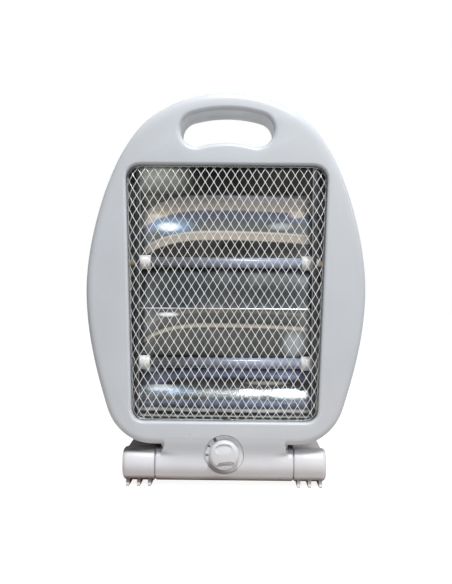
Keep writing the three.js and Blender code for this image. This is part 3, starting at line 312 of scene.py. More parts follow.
def front_of_bar(name, wall, end, back, top):
    """The bar's round front and the hollow neck above it, whose notch ends blend round."""
    limit = 89.4 if wall == 0 else 90
    fall = np.radians(np.linspace(-limit, 0, 16))
    rise = np.linspace(0, 1, 25)[1:]
    neck = np.vstack([bezier(NECK, 24)[1:], NECK[-1:]])
    share_up = (top - BAR_HEIGHT) / (NECK[-1][1] - BAR_HEIGHT)
    neck = np.column_stack([wall + neck[:, 0], BAR_HEIGHT + (neck[:, 1] - BAR_HEIGHT) * share_up])
    rings = []
    for x in bar_stations(end):
        radius = BAR_RADIUS - wall - end_round(x)
        low = np.column_stack([BAR_DEPTH - radius * np.cos(fall), BAR_HEIGHT + radius * np.sin(fall)])
        a = np.radians(limit * rise)
        free = np.column_stack([BAR_DEPTH - radius * np.cos(a), BAR_HEIGHT + radius * np.sin(a)])
        share = notch_share(x, neck[:, 1])[:, None]
        mouth = notch_mouth(x, neck[:, 1])
        high = free * (1 - share) + (neck + np.column_stack([mouth, 0 * mouth])) * share
        profile = np.vstack([low, high, [(back, high[-1, 1])], [(back, low[0, 1])]])
        rings.append(standing_at(x, profile))
    return skin(name, rings)


BODY, SLOT, WINDOW = body_edge(), slot_edge(), window_edge()


def boss_tools(radius, near, far):
    """A round tool at each of the six screws."""
    places = [(side * x, z) for side in SIDES.values() for _, x, z in SHELL_SCREWS]
    return [rod("boss", radius, x, z, near, far, 32) for x, z in places]


def axle_hole():
    """A cutter for the hole that the feet's pins lie in, along the bar's axis."""
    profile = [(0, -70), (PIN_HOLE, -70), (PIN_HOLE, 70), (0, 70)]
    return turned("axle_hole", profile, 0, (0, BAR_DEPTH, BAR_HEIGHT), 32)


handle_round = 1 + 0.75 * smoothstep(322.0, 366.0, BODY[:, 1])  # the crown is broader along the handle
crown = [(inset * handle_round, depth) for inset, depth in FRONT_CROWN]
front = skin("housing_front", upright(BODY, [*crown, (0, FRONT_DEPTH)]))
front = worked(
    front,
    "UNION",
    front_of_bar("bar_front", 0, BAR_END, BAR_DEPTH - 0.15, NECK[-1][1]),
    turned(
        "dial_rim",
        [
            (0, DIAL_FRONT),
            (DIAL_RADIUS + 0.2, DIAL_FRONT),
            (DIAL_RADIUS + 0.7, DIAL_FRONT + 0.2),
            (DIAL_RADIUS + 1.3, DIAL_FRONT + 0.75),
            (DIAL_RADIUS + DIAL_RIM, DIAL_FRONT + 1.6),
            (DIAL_RADIUS + DIAL_RIM, 16.8),
            (0, 16.8),
        ],
        1,
        (0, 0, DIAL_HEIGHT),
        128,
    ),
)
inside = [(WALL + inset, WALL + depth) for inset, depth in quarter(7.0, 6)]
front_room = worked(
    skin("front_room", upright(BODY, [*inside, (WALL, FRONT_DEPTH + 1)])),
    "DIFFERENCE",
    skin("slot_sleeve", upright(SLOT, [(-WALL, -1), (-WALL, FRONT_DEPTH + 3)])),
    skin("window_sleeve", upright(WINDOW, [(-WALL, -1), (-WALL, SLEEVE_DEPTH)])),
    *boss_tools(4.0, -1, FRONT_DEPTH + 3),
)
dial_seat = rod("dial_seat", DIAL_RADIUS + DIAL_RIM, 0, DIAL_HEIGHT, 0, DIAL_FLOOR + WALL / 2, 96)
bar_room = front_of_bar("bar_room", WALL, BAR_END - 4, BAR_DEPTH + 1, BODY_BOTTOM)
bar_room = worked(bar_room, "DIFFERENCE", dial_seat)
recess = turned(
    "recess",
    [
        (0, -8),
        (DIAL_RADIUS + 0.6, -8),
        (DIAL_RADIUS + 0.6, DIAL_FRONT - 0.3),
        (DIAL_RADIUS + 0.25, DIAL_FRONT + 0.15),
        (DIAL_RADIUS, DIAL_FRONT + 0.7),
        (DIAL_RADIUS, DIAL_FLOOR),
        (0, DIAL_FLOOR),
    ],
    1,
    (0, 0, DIAL_HEIGHT),
    128,
)
front = worked(
    front,
    "DIFFERENCE",
    front_room,
    bar_room,
    flared("slot_cut", SLOT, SLOT_EDGE, 0, FRONT_DEPTH + 1),
    flared("window_cut", WINDOW, WINDOW_EDGE, 0, SLEEVE_DEPTH + 1),
    recess,
    rod("shaft_hole", 3.6, 0, DIAL_HEIGHT, 0, BAR_DEPTH),
    block("switch_pocket", (-12.6, 6.05, DIAL_HEIGHT - 12.6), (12.6, BAR_DEPTH + 1, DIAL_HEIGHT + 12.6)),
    axle_hole(),
    *boss_tools(SCREW_PILOT, 9, FRONT_DEPTH + 1),
)


def node(tree, kind, inputs=None, **settings):
    """A shader node with its settings, and its inputs set or linked by name or number."""
    made = tree.nodes.new(kind)
    for key, value in settings.items():
        setattr(made, key, value)
    for socket, value in (inputs or {}).items():
        if isinstance(value, bpy.types.NodeSocket):
            tree.links.new(value, made.inputs[socket])
        else:
            made.inputs[socket].default_value = value
    return made


def mixed(tree, factor, first, second):
    """A colour between two others."""
    return node(tree, "ShaderNodeMix", {0: factor, 6: first, 7: second}, data_type="RGBA").outputs[2]


def maths(tree, operation, first, second=0.0, third=0.0):
    """One step of arithmetic."""
    return node(tree, "ShaderNodeMath", {0: first, 1: second, 2: third}, operation=operation).outputs[0]


def spread(tree, value, low, high, to_low, to_high):
    """The value carried from one range to another, and held at its ends."""
    names = {"Value": value, "From Min": low, "From Max": high, "To Min": to_low, "To Max": to_high}
    return node(tree, "ShaderNodeMapRange", names).outputs[0]


def axes_of(tree):
    """Where the surface is: across, along the depth and up, in metres."""
    where = node(tree, "ShaderNodeTexCoord").outputs["Object"]
    return node(tree, "ShaderNodeSeparateXYZ", {0: where}).outputs


def noise(tree, scale, detail=3.0, stretch=(1, 1, 1), roughness=0.5):
    """Noise fixed to the piece, with its scale in features per metre."""
    where = node(tree, "ShaderNodeTexCoord").outputs["Object"]
    where = node(tree, "ShaderNodeMapping", {"Vector": where, "Scale": stretch}).outputs[0]
    values = {"Vector": where, "Scale": scale, "Detail": detail, "Roughness": roughness}
    return node(tree, "ShaderNodeTexNoise", values).outputs[0]


def surface_group(name, inputs):
    """An empty node group that gives a colour, a roughness and a normal."""
    tree = bpy.data.node_groups.new(name, "ShaderNodeTree")
    for socket, kind, value in inputs:
        made = tree.interface.new_socket(name=socket, in_out="INPUT", socket_type="NodeSocket" + kind)
        made.default_value = value
    for socket, kind in (("Colour", "Color"), ("Roughness", "Float"), ("Normal", "Vector")):
        tree.interface.new_socket(name=socket, in_out="OUTPUT", socket_type="NodeSocket" + kind)
    return tree, node(tree, "NodeGroupInput").outputs


def close_group(tree, colour, roughness, height, strength, distance):
    """Ends a surface group, with its height made into a bumped normal."""
    normal = node(tree, "ShaderNodeBump", {"Strength": strength, "Distance": distance, "Height": height})
    node(tree, "NodeGroupOutput", {"Colour": colour, "Roughness": roughness, "Normal": normal.outputs[0]})
    return tree


def moulded_surface():
    """Moulded plastic: faint mottling, fine spark-eroded grain, grime in the corners with painted shade
    there, and a few scuffs.
    """
    tree, given = surface_group("moulded_surface", [
        ("Colour", "Color", (0.6, 0.6, 0.6, 1)),
        ("Aged", "Color", (0.6, 0.58, 0.54, 1)),
        ("Mottle", "Float", 0.03),
        ("Grime and shade", "Float", 0.5),
        ("Scuffs", "Float", 0.3),
        ("Roughness", "Float", 0.4),
        ("Grain", "Float", 0.2),
    ])
    cloud = spread(tree, noise(tree, 22, 4), 0.3, 0.7, -1, 1)
    fleck = spread(tree, noise(tree, 700, 2), 0.3, 0.7, -0.35, 0.35)
    value = maths(tree, "MULTIPLY_ADD", maths(tree, "ADD", cloud, fleck), given["Mottle"], 1.0)
    age = spread(tree, noise(tree, 9, 3), 0.42, 0.72, 0, 0.55)
    colour = mixed(tree, age, given["Colour"], given["Aged"])
    colour = node(tree, "ShaderNodeVectorMath", {0: colour, "Scale": value}, operation="SCALE").outputs[0]
    # Ambient occlusion darkens corners and creases: grime, and painted shade where less light reaches.
    corner = node(tree, "ShaderNodeAmbientOcclusion", {"Distance": 0.007}, samples=8).outputs["AO"]
    smear = spread(tree, noise(tree, 60, 4), 0.3, 0.7, 0.55, 1)
    smear = maths(tree, "MULTIPLY", smear, given["Grime and shade"])
    grime_and_shade = maths(tree, "MULTIPLY", spread(tree, corner, 0.35, 0.95, 1, 0), smear)
    colour = mixed(tree, grime_and_shade, colour, (0.17, 0.155, 0.14, 1))
    scuff = spread(tree, noise(tree, 130, 5, (1, 1, 0.12)), 0.66, 0.74, 0, 1)
    patch = spread(tree, noise(tree, 16, 2), 0.55, 0.66, 0, 1)
    scuff = maths(tree, "MULTIPLY", maths(tree, "MULTIPLY", scuff, patch), given["Scuffs"])
    colour = mixed(tree, maths(tree, "MULTIPLY", scuff, 0.25), colour, (0.36, 0.34, 0.32, 1))
    cells = node(tree, "ShaderNodeTexCoord").outputs["Object"]
    cells = node(tree, "ShaderNodeTexVoronoi", {"Vector": cells, "Scale": 34.0})
    speck = spread(tree, cells.outputs["Distance"], 0.011, 0.017, 0.75, 0)
    chosen = node(tree, "ShaderNodeSeparateColor", {0: cells.outputs["Color"]}).outputs[0]
    speck = maths(tree, "MULTIPLY", speck, maths(tree, "GREATER_THAN", chosen, 0.55))
    colour = mixed(tree, speck, colour, (0.12, 0.11, 0.1, 1))
    rough = spread(tree, noise(tree, 45, 4), 0.3, 0.7, -0.05, 0.05)
    rough = maths(tree, "ADD", rough, given["Roughness"])
    rough = maths(tree, "MULTIPLY_ADD", scuff, 0.3, rough)
    height = maths(tree, "MULTIPLY_ADD", noise(tree, 240, 2), 1.6, noise(tree, 1900, 2))
    height = maths(tree, "SUBTRACT", height, scuff)
    return close_group(tree, colour, rough, height, given["Grain"], 0.00025)


MOULDED = moulded_surface()


def finish_of(name, group, values, **shader):
    """A material with its colour, roughness and normal from a surface group, and plain values otherwise."""
    material = bpy.data.materials.new(name)
    material.use_nodes = True
    tree = material.node_tree
    face = node(tree, "ShaderNodeGroup", {}, node_tree=group)
    for socket, value in values.items():
        face.inputs[socket].default_value = value
    principled = tree.nodes["Principled BSDF"]
    tree.links.new(face.outputs["Colour"], principled.inputs["Base Color"])
    tree.links.new(face.outputs["Roughness"], principled.inputs["Roughness"])
    tree.links.new(face.outputs["Normal"], principled.inputs["Normal"])
    for socket, value in shader.items():
        principled.inputs[socket.replace("_", " ")].default_value = value
    return material


white_moulding = finish_of(
    "white_moulding",
    MOULDED,
    {
        "Colour": (0.565, 0.59, 0.618, 1),
        "Aged": (0.58, 0.58, 0.59, 1),
        "Mottle": 0.022,
        "Grime and shade": 0.2,
        "Scuffs": 0.35,
        "Roughness": 0.36,
        "Grain": 0.12,
    },
)


def fitted(piece, material, body, slot, *nodes, angle=32):
    """Finishes a piece: material, smooth faces, body, and the nodes that it stands for. The slot is not used.
    """
    piece.data.materials.clear()
    piece.data.materials.append(material)
    piece.data.shade_smooth()
    piece.data.set_sharp_from_angle(angle=math.radians(angle))
    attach(piece, body)
    if nodes:
        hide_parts(*nodes)
    return piece


def colour_of(tree):
    """The colour that a material gives to its surface group."""
    return next(n for n in tree.nodes if n.type == "GROUP").inputs["Colour"]


def painted_shade_over(tree, amount, shade_colour):
    """Lays painted shade over the colour so far, and makes it duller there."""
    colour, rough = colour_of(tree), tree.nodes["Principled BSDF"].inputs["Roughness"]
    unshaded = colour.links[0].from_socket if colour.is_linked else colour.default_value
    tree.links.new(mixed(tree, amount, unshaded, shade_colour), colour)
    tree.links.new(maths(tree, "MULTIPLY_ADD", amount, 0.55, rough.links[0].from_socket), rough)


def painted_light_and_underside_shade(material, level, lit_colour, amount):
    """Paints a moulding paler below a level, as painted light, and brown close to the floor, as painted
    shade.
    """
    tree = material.node_tree
    height, colour = axes_of(tree)["Z"], colour_of(tree)
    # Painted light: paler below the level.
    low = spread(tree, height, level * MM, (level - 10) * MM, 0, amount)
    tree.links.new(mixed(tree, low, colour.default_value, (*lit_colour, 1)), colour)
    # Painted shade: brown near the floor, a little weaker at the very bottom.
    underside_shade = spread(tree, height, 10.4 * MM, 5.8 * MM, 0, 0.95)
    weaker_at_floor = spread(tree, height, 2.8 * MM, 3.6 * MM, 0.35, 1)
    painted_shade_over(tree, maths(tree, "MULTIPLY", underside_shade, weaker_at_floor), (0.13, 0.08, 0.052, 1))


def reach(tree, across, up, x, z, half_wide, half_high):
    """How far out a place lies in an upright oval given in millimetres: 0 at its middle and 1 at its edge."""
    u = maths(tree, "DIVIDE", maths(tree, "SUBTRACT", across, x * MM), half_wide * MM)
    v = maths(tree, "DIVIDE", maths(tree, "SUBTRACT", up, z * MM), half_high * MM)
    return maths(tree, "MULTIPLY_ADD", u, u, maths(tree, "MULTIPLY", v, v))


def painted_notch_shade(material):
    """Painted shade in the two notches beside the neck, each a slot with a round end."""
    tree = material.node_tree
    axes = axes_of(tree)
    out, x, z = maths(tree, "ABSOLUTE", axes["X"]), NOTCH_END + 3.8, NOTCH_HEIGHT - 0.2
    notch = reach(tree, out, axes["Z"], x, z, 5.0, 2.4)
    # Painted shade: the notches are darkened where the housing overhangs them.
    painted_shade_over(tree, spread(tree, notch, 1.25, 0.6, 0, 0.95), (0.05, 0.045, 0.04, 1))


painted_light_and_underside_shade(white_moulding, 31.0, (0.76, 0.75, 0.78), 0.8)
painted_notch_shade(white_moulding)
fitted(front, white_moulding, "housing", "white_plastic", "front_shell")

# ---- Rear shell --------------------------------------------------------------------------------------
# The back half of the housing, moulded in the same plastic: a deeper tray with a large round at its edge,
# two banks of louvres that let the heat out, counterbores for the six screws and the hole for the cord's
# sleeve.

rear_low, rear_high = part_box("rear_shell")
REAR_FRONT = (rear_low.y - FACE) / MM
REAR_BACK = (rear_high.y - FACE) / MM
REAR_ROUND, REAR_DRAFT, SEAM_STEP = 14.0, 3.0, 0.8
SCREW_SEAT = 48.0
LOUVRES = [98.0 + 14.0 * row for row in range(12)]
LOUVRE_HEIGHT, LOUVRE_IN, LOUVRE_OUT = 4.5, 5.0, 66.0
INLET_X, INLET_HEIGHT, INLET_HOLE = -62.0, 74.0, 5.0


def backed(radius, draft, back, steps):
    """Stations of the round at the back edge, inside the draft of the sides."""
    return [(draft + inset, back - depth) for inset, depth in reversed(quarter(radius, steps))]


def long_hole(x0, x1, z0, z1):
    """A level slot with round ends."""
    radius, middle = (z1 - z0) / 2, (z0 + z1) / 2
    return np.vstack([
        arc(x1 - radius, middle, radius, -90, 90, 9),
        arc(x0 + radius, middle, radius, 90, 270, 9),
    ])


def louvre(side, z):
    """A cutter for one louvre, flared towards the back."""
    x0, x1 = sorted((side * LOUVRE_IN, side * LOUVRE_OUT))
    return flared("louvre", long_hole(x0, x1, z, z + LOUVRE_HEIGHT), 0.7, REAR_BACK, REAR_BACK - WALL - 1)


rear_sides = [(SEAM_STEP, REAR_FRONT), (1.5, 42), (2.3, 46)]
rear = skin("housing_rear", upright(BODY, [*rear_sides, *backed(REAR_ROUND, REAR_DRAFT, REAR_BACK, 12)]))
room_back = backed(REAR_ROUND - WALL, REAR_DRAFT + WALL, REAR_BACK - WALL, 8)
rear_room = worked(
    skin("rear_room", upright(BODY, [(SEAM_STEP + WALL, REAR_FRONT - 1), *room_back])),
    "DIFFERENCE",
    skin("slot_sleeve", upright(SLOT, [(-WALL, REAR_FRONT - 3), (-WALL, REAR_BACK)])),
    *boss_tools(5.0, REAR_FRONT - 3, REAR_BACK),
)
bore = [
    (0, SCREW_SEAT), (SCREW_BORE, SCREW_SEAT), (SCREW_BORE, REAR_BACK - 0.6), (3.9, REAR_BACK),
    (3.9, REAR_BACK + 1), (0, REAR_BACK + 1),
]
counterbores = [
    turned("counterbore", bore, 1, (side * x, 0, z), 40)
    for side in SIDES.values()
    for _, x, z in SHELL_SCREWS
]
rear = worked(
    rear,
    "DIFFERENCE",
    rear_room,
    flared("slot_cut", SLOT, SLOT_EDGE, REAR_BACK, REAR_FRONT - 1),
    *[louvre(side, z) for z in LOUVRES for side in SIDES.values()],
    *counterbores,
    *boss_tools(SCREW_PILOT, REAR_FRONT - 1, SCREW_SEAT + 1),
    rod("inlet_hole", INLET_HOLE, INLET_X, INLET_HEIGHT, 58, REAR_BACK + 1),
)
fitted(rear, white_moulding, "housing", "white_plastic", "rear_shell")

# ---- Base cover --------------------------------------------------------------------------------------
# The back half of the base bar, a separate white moulding that closes the switch's and the wiring's room
# and clamps the feet's pins. Two screws in deep counterbores hold it from behind.

COVER_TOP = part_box("base_cover")[1].z / MM
COVER_BACK = BAR_DEPTH + BAR_RADIUS
COVER_SCREW, COVER_SEAT = 46.0, COVER_BACK - 6
COVER_HOLES = [  # name, radius, and where it starts and ends
    ("cover_bore", SCREW_BORE, COVER_SEAT, COVER_BACK + 2),
    ("cover_pilot", SCREW_PILOT, BAR_DEPTH - 2, COVER_BACK),
]


def back_of_bar(name, wall, end, front_edge, top):
    """The bar's round back, with an upright back and a flat top above the axis."""
    limit = 89.4 if wall == 0 else 90
    fall = np.radians(np.linspace(-limit, 0, 16))
    radius = 2.0
    flat = np.linspace(0, 1, 8, endpoint=False)[1:, None]
    back, corner = COVER_BACK - wall, np.radians(np.linspace(0, 90, 7))
    saddle = np.vstack([
        np.array([back, BAR_HEIGHT]) + flat * np.array([0, top - radius - BAR_HEIGHT]),
        np.column_stack([back - radius + radius * np.cos(corner), top - radius + radius * np.sin(corner)]),
        np.array([back - radius, top]) + (flat + 0.12) * np.array([BAR_DEPTH + 0.3 - back + radius, 0]),
    ])
    rings = []
    for x in bar_stations(end):
        r = BAR_RADIUS - wall - end_round(x)
        low = np.column_stack([BAR_DEPTH + r * np.cos(fall), BAR_HEIGHT + r * np.sin(fall)])
        profile = np.vstack([low, saddle, [(front_edge, saddle[-1, 1])], [(front_edge, low[0, 1])]])
        rings.append(standing_at(x, profile))
    return skin(name, rings)


cover = worked(
    back_of_bar("base_cover_back", 0, BAR_END, BAR_DEPTH + 0.15, COVER_TOP),
    "DIFFERENCE",
    worked(
        back_of_bar("cover_room", WALL, BAR_END - 4, BAR_DEPTH - 1, COVER_TOP - WALL),
        "DIFFERENCE",
        *[rod("cover_boss", 5, side * COVER_SCREW, BAR_HEIGHT, 0, COVER_BACK + 2) for side in SIDES.values()],
    ),
    axle_hole(),
    *[
        rod(name, radius, side * COVER_SCREW, BAR_HEIGHT, near, far)
        for name, radius, near, far in COVER_HOLES
        for side in SIDES.values()
    ],
)
fitted(cover, white_moulding, "housing", "white_plastic", "base_cover")

# ---- Feet --------------------------------------------------------------------------------------------
# Two white mouldings on the bar's axis: a domed barrel with a hollow leg that reaches back over the floor
# on three ribs. Each turns on a steel pin and folds a quarter turn into line with the housing for carrying.

foot_low, foot_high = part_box("right_foot")
FOOT_IN, FOOT_OUT, FOOT_DOME = foot_low.x / MM, foot_high.x / MM, 4.5
LEG_IN, LEG_OUT = 66.0, 91.6
LEG_BACK = (foot_high.y - FACE) / MM
LEG_TOP = BAR_HEIGHT + BAR_RADIUS
LEG_SLOPE, LEG_NOSE, LEG_SKIRT, LEG_WALL, LEG_EDGE = 88.0, 14.0, 6.0, 2.2, 1.4
RIBS = (69.9, 80.1, 90.3)


def leg_side(shrink):
    """The leg seen from the side, as depth and height: level, then falling to a blunt nose."""
    top, back, floor = LEG_TOP - shrink, LEG_BACK - shrink, LEG_SKIRT if shrink == 0 else 4.0
    slope = bezier([(back, LEG_NOSE - shrink), (back - 4, top), (LEG_SLOPE, top)], 24)
    sides = bezier([(LEG_SLOPE, top), (BAR_DEPTH, top)], 12)
    under = bezier([(BAR_DEPTH, floor), (back, floor)], 12)
    return np.vstack([under, [(back, floor)], slope, sides, [(BAR_DEPTH, top)]])


def crosswise(name, side, profile, stations):
    """A depth-and-height outline at stations of (inset, x) on one side."""
    return skin(name, [standing_at(side * x, drawn_in(profile, inset)) for inset, x in stations])


def rib(side, x):
    """A rib that narrows to the floor."""
    outline = np.array([
        (2.3, 0.9), (2.7, 0), (LEG_BACK - 3, 0), (LEG_BACK - 2.2, 1), (LEG_BACK - 2.2, 11.8),
        (LEG_SLOPE + 8, 31.6), (8.6, 31.6), (8.6, 9),
    ])
    half = np.interp(outline[:, 1], [0, 9], [1.4, 1.8])
    return skin(f"rib_{x}", [np.column_stack([side * (x + way * half), outline]) for way in (-1, 1)])


def foot(name, side):
    """A barrel with a domed end, a collar that meets the bar and a hub for the pin, and the leg behind."""
    dome = [
        (BAR_RADIUS - FOOT_DOME * (1 - math.cos(t)) * 1.05, FOOT_OUT - 0.5 - FOOT_DOME * (1 - math.sin(t)))
        for t in np.linspace(0, math.pi / 2, 13)
    ]
    collar, inner = FOOT_IN - 0.45, BAR_RADIUS - WALL
    cup = [
        (0, FOOT_OUT), (4, FOOT_OUT - 0.04), (8, FOOT_OUT - 0.2), *reversed(dome),
        (BAR_RADIUS, FOOT_IN + 0.5), (BAR_RADIUS - 0.15, FOOT_IN + 0.12), (BAR_RADIUS - 0.5, FOOT_IN),
        (BAR_RADIUS - 1.0, FOOT_IN), (BAR_RADIUS - 1.1, collar), (inner, collar), (inner, FOOT_OUT - 7),
        (6, FOOT_OUT - 7), (6, FOOT_IN + 2), (PIN_HOLE, FOOT_IN + 2), (PIN_HOLE, FOOT_OUT - 6.7),
        (0, FOOT_OUT - 6.7),
    ]
    barrel = turned(name, [(r, side * x) for r, x in cup], 0, (0, BAR_DEPTH, BAR_HEIGHT), 96)
    edge = [(inset, LEG_IN + depth) for inset, depth in quarter(LEG_EDGE, 5)]
    edge += [(inset, LEG_OUT - depth) for inset, depth in reversed(quarter(LEG_EDGE, 5))]
    near, far = sorted((side * (LEG_IN - 2), side * (LEG_OUT + 1.4)))
    room = worked(
        crosswise("leg_room", side, leg_side(LEG_WALL), [(0, LEG_IN + LEG_WALL), (0, LEG_OUT - LEG_WALL)]),
        "DIFFERENCE",
        block("solid_front", (near, -1, -1), (far, BAR_DEPTH + BAR_RADIUS - 2, 40)),
    )
    leg = worked(crosswise("leg", side, leg_side(0), edge), "DIFFERENCE", room)
    leg = worked(leg, "UNION", *[rib(side, x) for x in RIBS])
    ends = sorted((side * (FOOT_IN - 1), side * (FOOT_OUT - 6)))
    hub = turned(
        "hub",
        [(0, ends[0]), (BAR_RADIUS - 0.5, ends[0]), (BAR_RADIUS - 0.5, ends[1]), (0, ends[1])],
        0,
        (0, BAR_DEPTH, BAR_HEIGHT),
        96,
    )
    return worked(barrel, "UNION", worked(leg, "DIFFERENCE", hub))


# The feet get a paler copy of the housing's white plastic, as painted light on their barrels.
lit_foot_moulding = finish_of(
    "lit_foot_moulding",
    MOULDED,
    {
        "Colour": (0.68, 0.675, 0.7, 1),
        "Aged": (0.67, 0.66, 0.665, 1),
        "Mottle": 0.022,
        "Grime and shade": 0.3,
        "Scuffs": 0.5,
        "Roughness": 0.38,
        "Grain": 0.12,
    },
)
painted_light_and_underside_shade(lit_foot_moulding, 31.0, (0.7, 0.695, 0.715), 0.8)


def painted_deck_shadow(material):
    """Painted shadow, dark brown, on top of the left foot under the housing, where the housing shades it."""
    tree = material.node_tree
    axes = axes_of(tree)
    edge = maths(tree, "MULTIPLY_ADD", axes["X"], -0.07, axes["Z"])
    up = spread(tree, edge, 36.2 * MM, 38.8 * MM, 0, 1)
    left = spread(tree, axes["X"], 0.0, -10 * MM, 0, 0.92)
    patchy = spread(tree, noise(tree, 90, 4), 0.25, 0.6, 0.75, 1)
    amount = maths(tree, "MULTIPLY", maths(tree, "MULTIPLY", up, left), patchy)
    # Painted shadow of the housing on the left foot's deck.
    painted_shade_over(tree, amount, (0.075, 0.062, 0.054, 1))


painted_deck_shadow(lit_foot_moulding)
for way, side in SIDES.items():
    fitted(foot(f"{way}_folding_foot", side), lit_foot_moulding, f"{way}_foot", "white_plastic", f"{way}_foot")

# ---- Mesh guard --------------------------------------------------------------------------------------
# Expanded steel sheet, zinc plated: upright strands that wave from bond to bond and leave diamond gaps. Its
# four edges are rolled back inside the window and end on a wire that the sleeve of the front shell hides.

MESH_FRONT, MESH_ROLL, MESH_INSET = 2.0, 9.0, 0.35
DIAMOND_WIDTH, DIAMOND_HEIGHT = 8.0, 13.0
STRAND, STRAND_DEEP, BOND_SHIFT, BOND_SWELL = 0.275, 0.27, 0.2, 0.45
STRANDS_A_SIDE, STRAND_HALF_LENGTH = 26, 150
roll_line = window_edge(MESH_INSET + MESH_ROLL, 6.5, 4.0, 480)


def from_line(points):
    """The nearest place on the line where the roll starts, and how far outside of it each point is."""
    a, b = roll_line, np.roll(roll_line, -1, 0)
    along = b - a
    length = (along**2).sum(1)
    t = np.clip(((points[:, None] - a) * along).sum(2) / length, 0, 1)
    place = a + t[..., None] * along
    gap = np.linalg.norm(points[:, None] - place, axis=2)
    pick = gap.argmin(1)
    row = np.arange(len(points))
    nearest = place[row, pick]
    outward = np.column_stack([along[pick, 1], -along[pick, 0]])
    outside = ((points - nearest) * outward).sum(1) > 0
    return nearest, np.where(outside, gap[row, pick], 0.0)


def tube(centres, normals, half_wide, half_deep, sides=6):
    """Points and faces of an oval strand along centres, closed at both ends."""
    along = unit(np.gradient(centres, axis=0))
    across = unit(np.cross(along, normals))
    up = np.cross(across, along)
    a = np.linspace(0, 2 * math.pi, sides, endpoint=False)
    wide = half_wide[:, None, None] * np.cos(a)[None, :, None] * across[:, None]
    deep = half_deep[:, None, None] * np.sin(a)[None, :, None] * up[:, None]
    points = (centres[:, None] + wide + deep).reshape(-1, 3)
    count = len(centres)
    faces = [
        (s * sides + i, s * sides + (i + 1) % sides, (s + 1) * sides + (i + 1) % sides, (s + 1) * sides + i)
        for s in range(count - 1)
        for i in range(sides)
    ]
    faces += [tuple(range(sides)), tuple(range((count - 1) * sides, count * sides))]
    return points, faces


def gathered(name, parts):
    """One mesh from several lists of points and faces."""
    points, faces, start = [], [], 0
    for part_points, part_faces in parts:
        points.append(part_points)
        faces += [tuple(start + i for i in face) for face in part_faces]
        start += len(part_points)
    return solid(name, np.concatenate(points), faces)


def guard():
    """Strands laid over the flat face and round the rolled edges as far as they reach, and the wire."""
    rolled = MESH_ROLL * math.pi / 2
    quarter_height = DIAMOND_HEIGHT / 2
    middle = (WINDOW_LOW + WINDOW_HIGH) / 2
    parts = []
    heights = np.arange(-STRAND_HALF_LENGTH, STRAND_HALF_LENGTH, quarter_height / 5)
    # The wave is clipped, so that neighbouring strands run side by side for a little at each bond.
    phase = (heights / quarter_height) % 2
    wave = np.clip(1.14 * (1 - 2 * np.abs(phase - 1)), -1, 1)
    at_bond = smoothstep(0.72, 1.0, np.abs(wave))
    for k in range(-STRANDS_A_SIDE, STRANDS_A_SIDE):
        swing = (DIAMOND_WIDTH / 4 - BOND_SHIFT) * wave * (1 if k % 2 else -1)
        flat = np.column_stack([(k + 0.5) * DIAMOND_WIDTH / 2 + swing, middle + heights])
        nearest, beyond = from_line(flat)
        out = unit(flat - nearest) * (beyond > 0)[:, None]
        turn = beyond / MESH_ROLL
        sheet = np.where((beyond > 0)[:, None], nearest + out * (MESH_ROLL * np.sin(turn))[:, None], flat)
        depth = MESH_FRONT + STRAND_DEEP + MESH_ROLL * (1 - np.cos(turn))
        centres = np.column_stack([sheet[:, 0], depth, sheet[:, 1]])
        normals = np.column_stack([out[:, 0] * np.sin(turn), -np.cos(turn), out[:, 1] * np.sin(turn)])
        present = beyond <= rolled
        for start in np.flatnonzero(present & ~np.roll(present, 1)):
            stop = start
            while stop < len(present) and present[stop]:
                stop += 1
            if stop - start > 3:
                run = slice(start, stop)
                wide = STRAND * (1 + BOND_SWELL * at_bond[run])
                parts.append(tube(centres[run], normals[run], wide, np.full(stop - start, STRAND_DEEP)))
    rim = window_edge(MESH_INSET + 0.4, 15.0, 13.0, 260)
    rim = np.vstack([rim, rim[:2]])
    rim = np.column_stack([rim[:, 0], np.full(len(rim), MESH_FRONT + MESH_ROLL + 0.3), rim[:, 1]])
    facing = np.tile([0.0, -1.0, 0.0], (len(rim), 1))
    parts.append(tube(rim, facing, np.full(len(rim), 0.36), np.full(len(rim), 0.5), 8))
    return gathered("guard_mesh", parts)


def metal_surface():
    """Rolled or plated metal: streaks along the rolling, heat tint, dull dust and fine scratches."""
    tree, given = surface_group("metal_surface", [
        ("Colour", "Color", (0.7, 0.7, 0.7, 1)),
        ("Tint", "Color", (0.5, 0.42, 0.3, 1)),
        ("Tinted", "Float", 0.1),
        ("Streaks", "Float", 0.1),
        ("Dust", "Float", 0.1),
        ("Roughness", "Float", 0.3),
        ("Grain", "Float", 0.2),
    ])
    streak = spread(tree, noise(tree, 1, 4, (7, 700, 700)), 0.3, 0.7, -1, 1)
    cloud = spread(tree, noise(tree, 40, 4), 0.3, 0.7, -1, 1)
    value = maths(tree, "MULTIPLY_ADD", maths(tree, "ADD", streak, cloud), given["Streaks"], 1.0)
    tinted = maths(tree, "MULTIPLY", spread(tree, noise(tree, 28, 3), 0.35, 0.7, 0, 1), given["Tinted"])
    colour = mixed(tree, tinted, given["Colour"], given["Tint"])
    colour = node(tree, "ShaderNodeVectorMath", {0: colour, "Scale": value}, operation="SCALE").outputs[0]
    dust = maths(tree, "MULTIPLY", spread(tree, noise(tree, 320, 5), 0.42, 0.7, 0.25, 1), given["Dust"])
    colour = mixed(tree, dust, colour, (0.42, 0.4, 0.37, 1))
    rough = spread(tree, noise(tree, 110, 4), 0.3, 0.7, -0.06, 0.06)
    rough = maths(tree, "ADD", rough, given["Roughness"])
    rough = maths(tree, "MULTIPLY_ADD", dust, 0.35, rough)
    height = maths(tree, "ADD", noise(tree, 1, 3, (20, 1400, 1400)), noise(tree, 520, 3))
    return close_group(tree, colour, rough, height, given["Grain"], 0.0002)


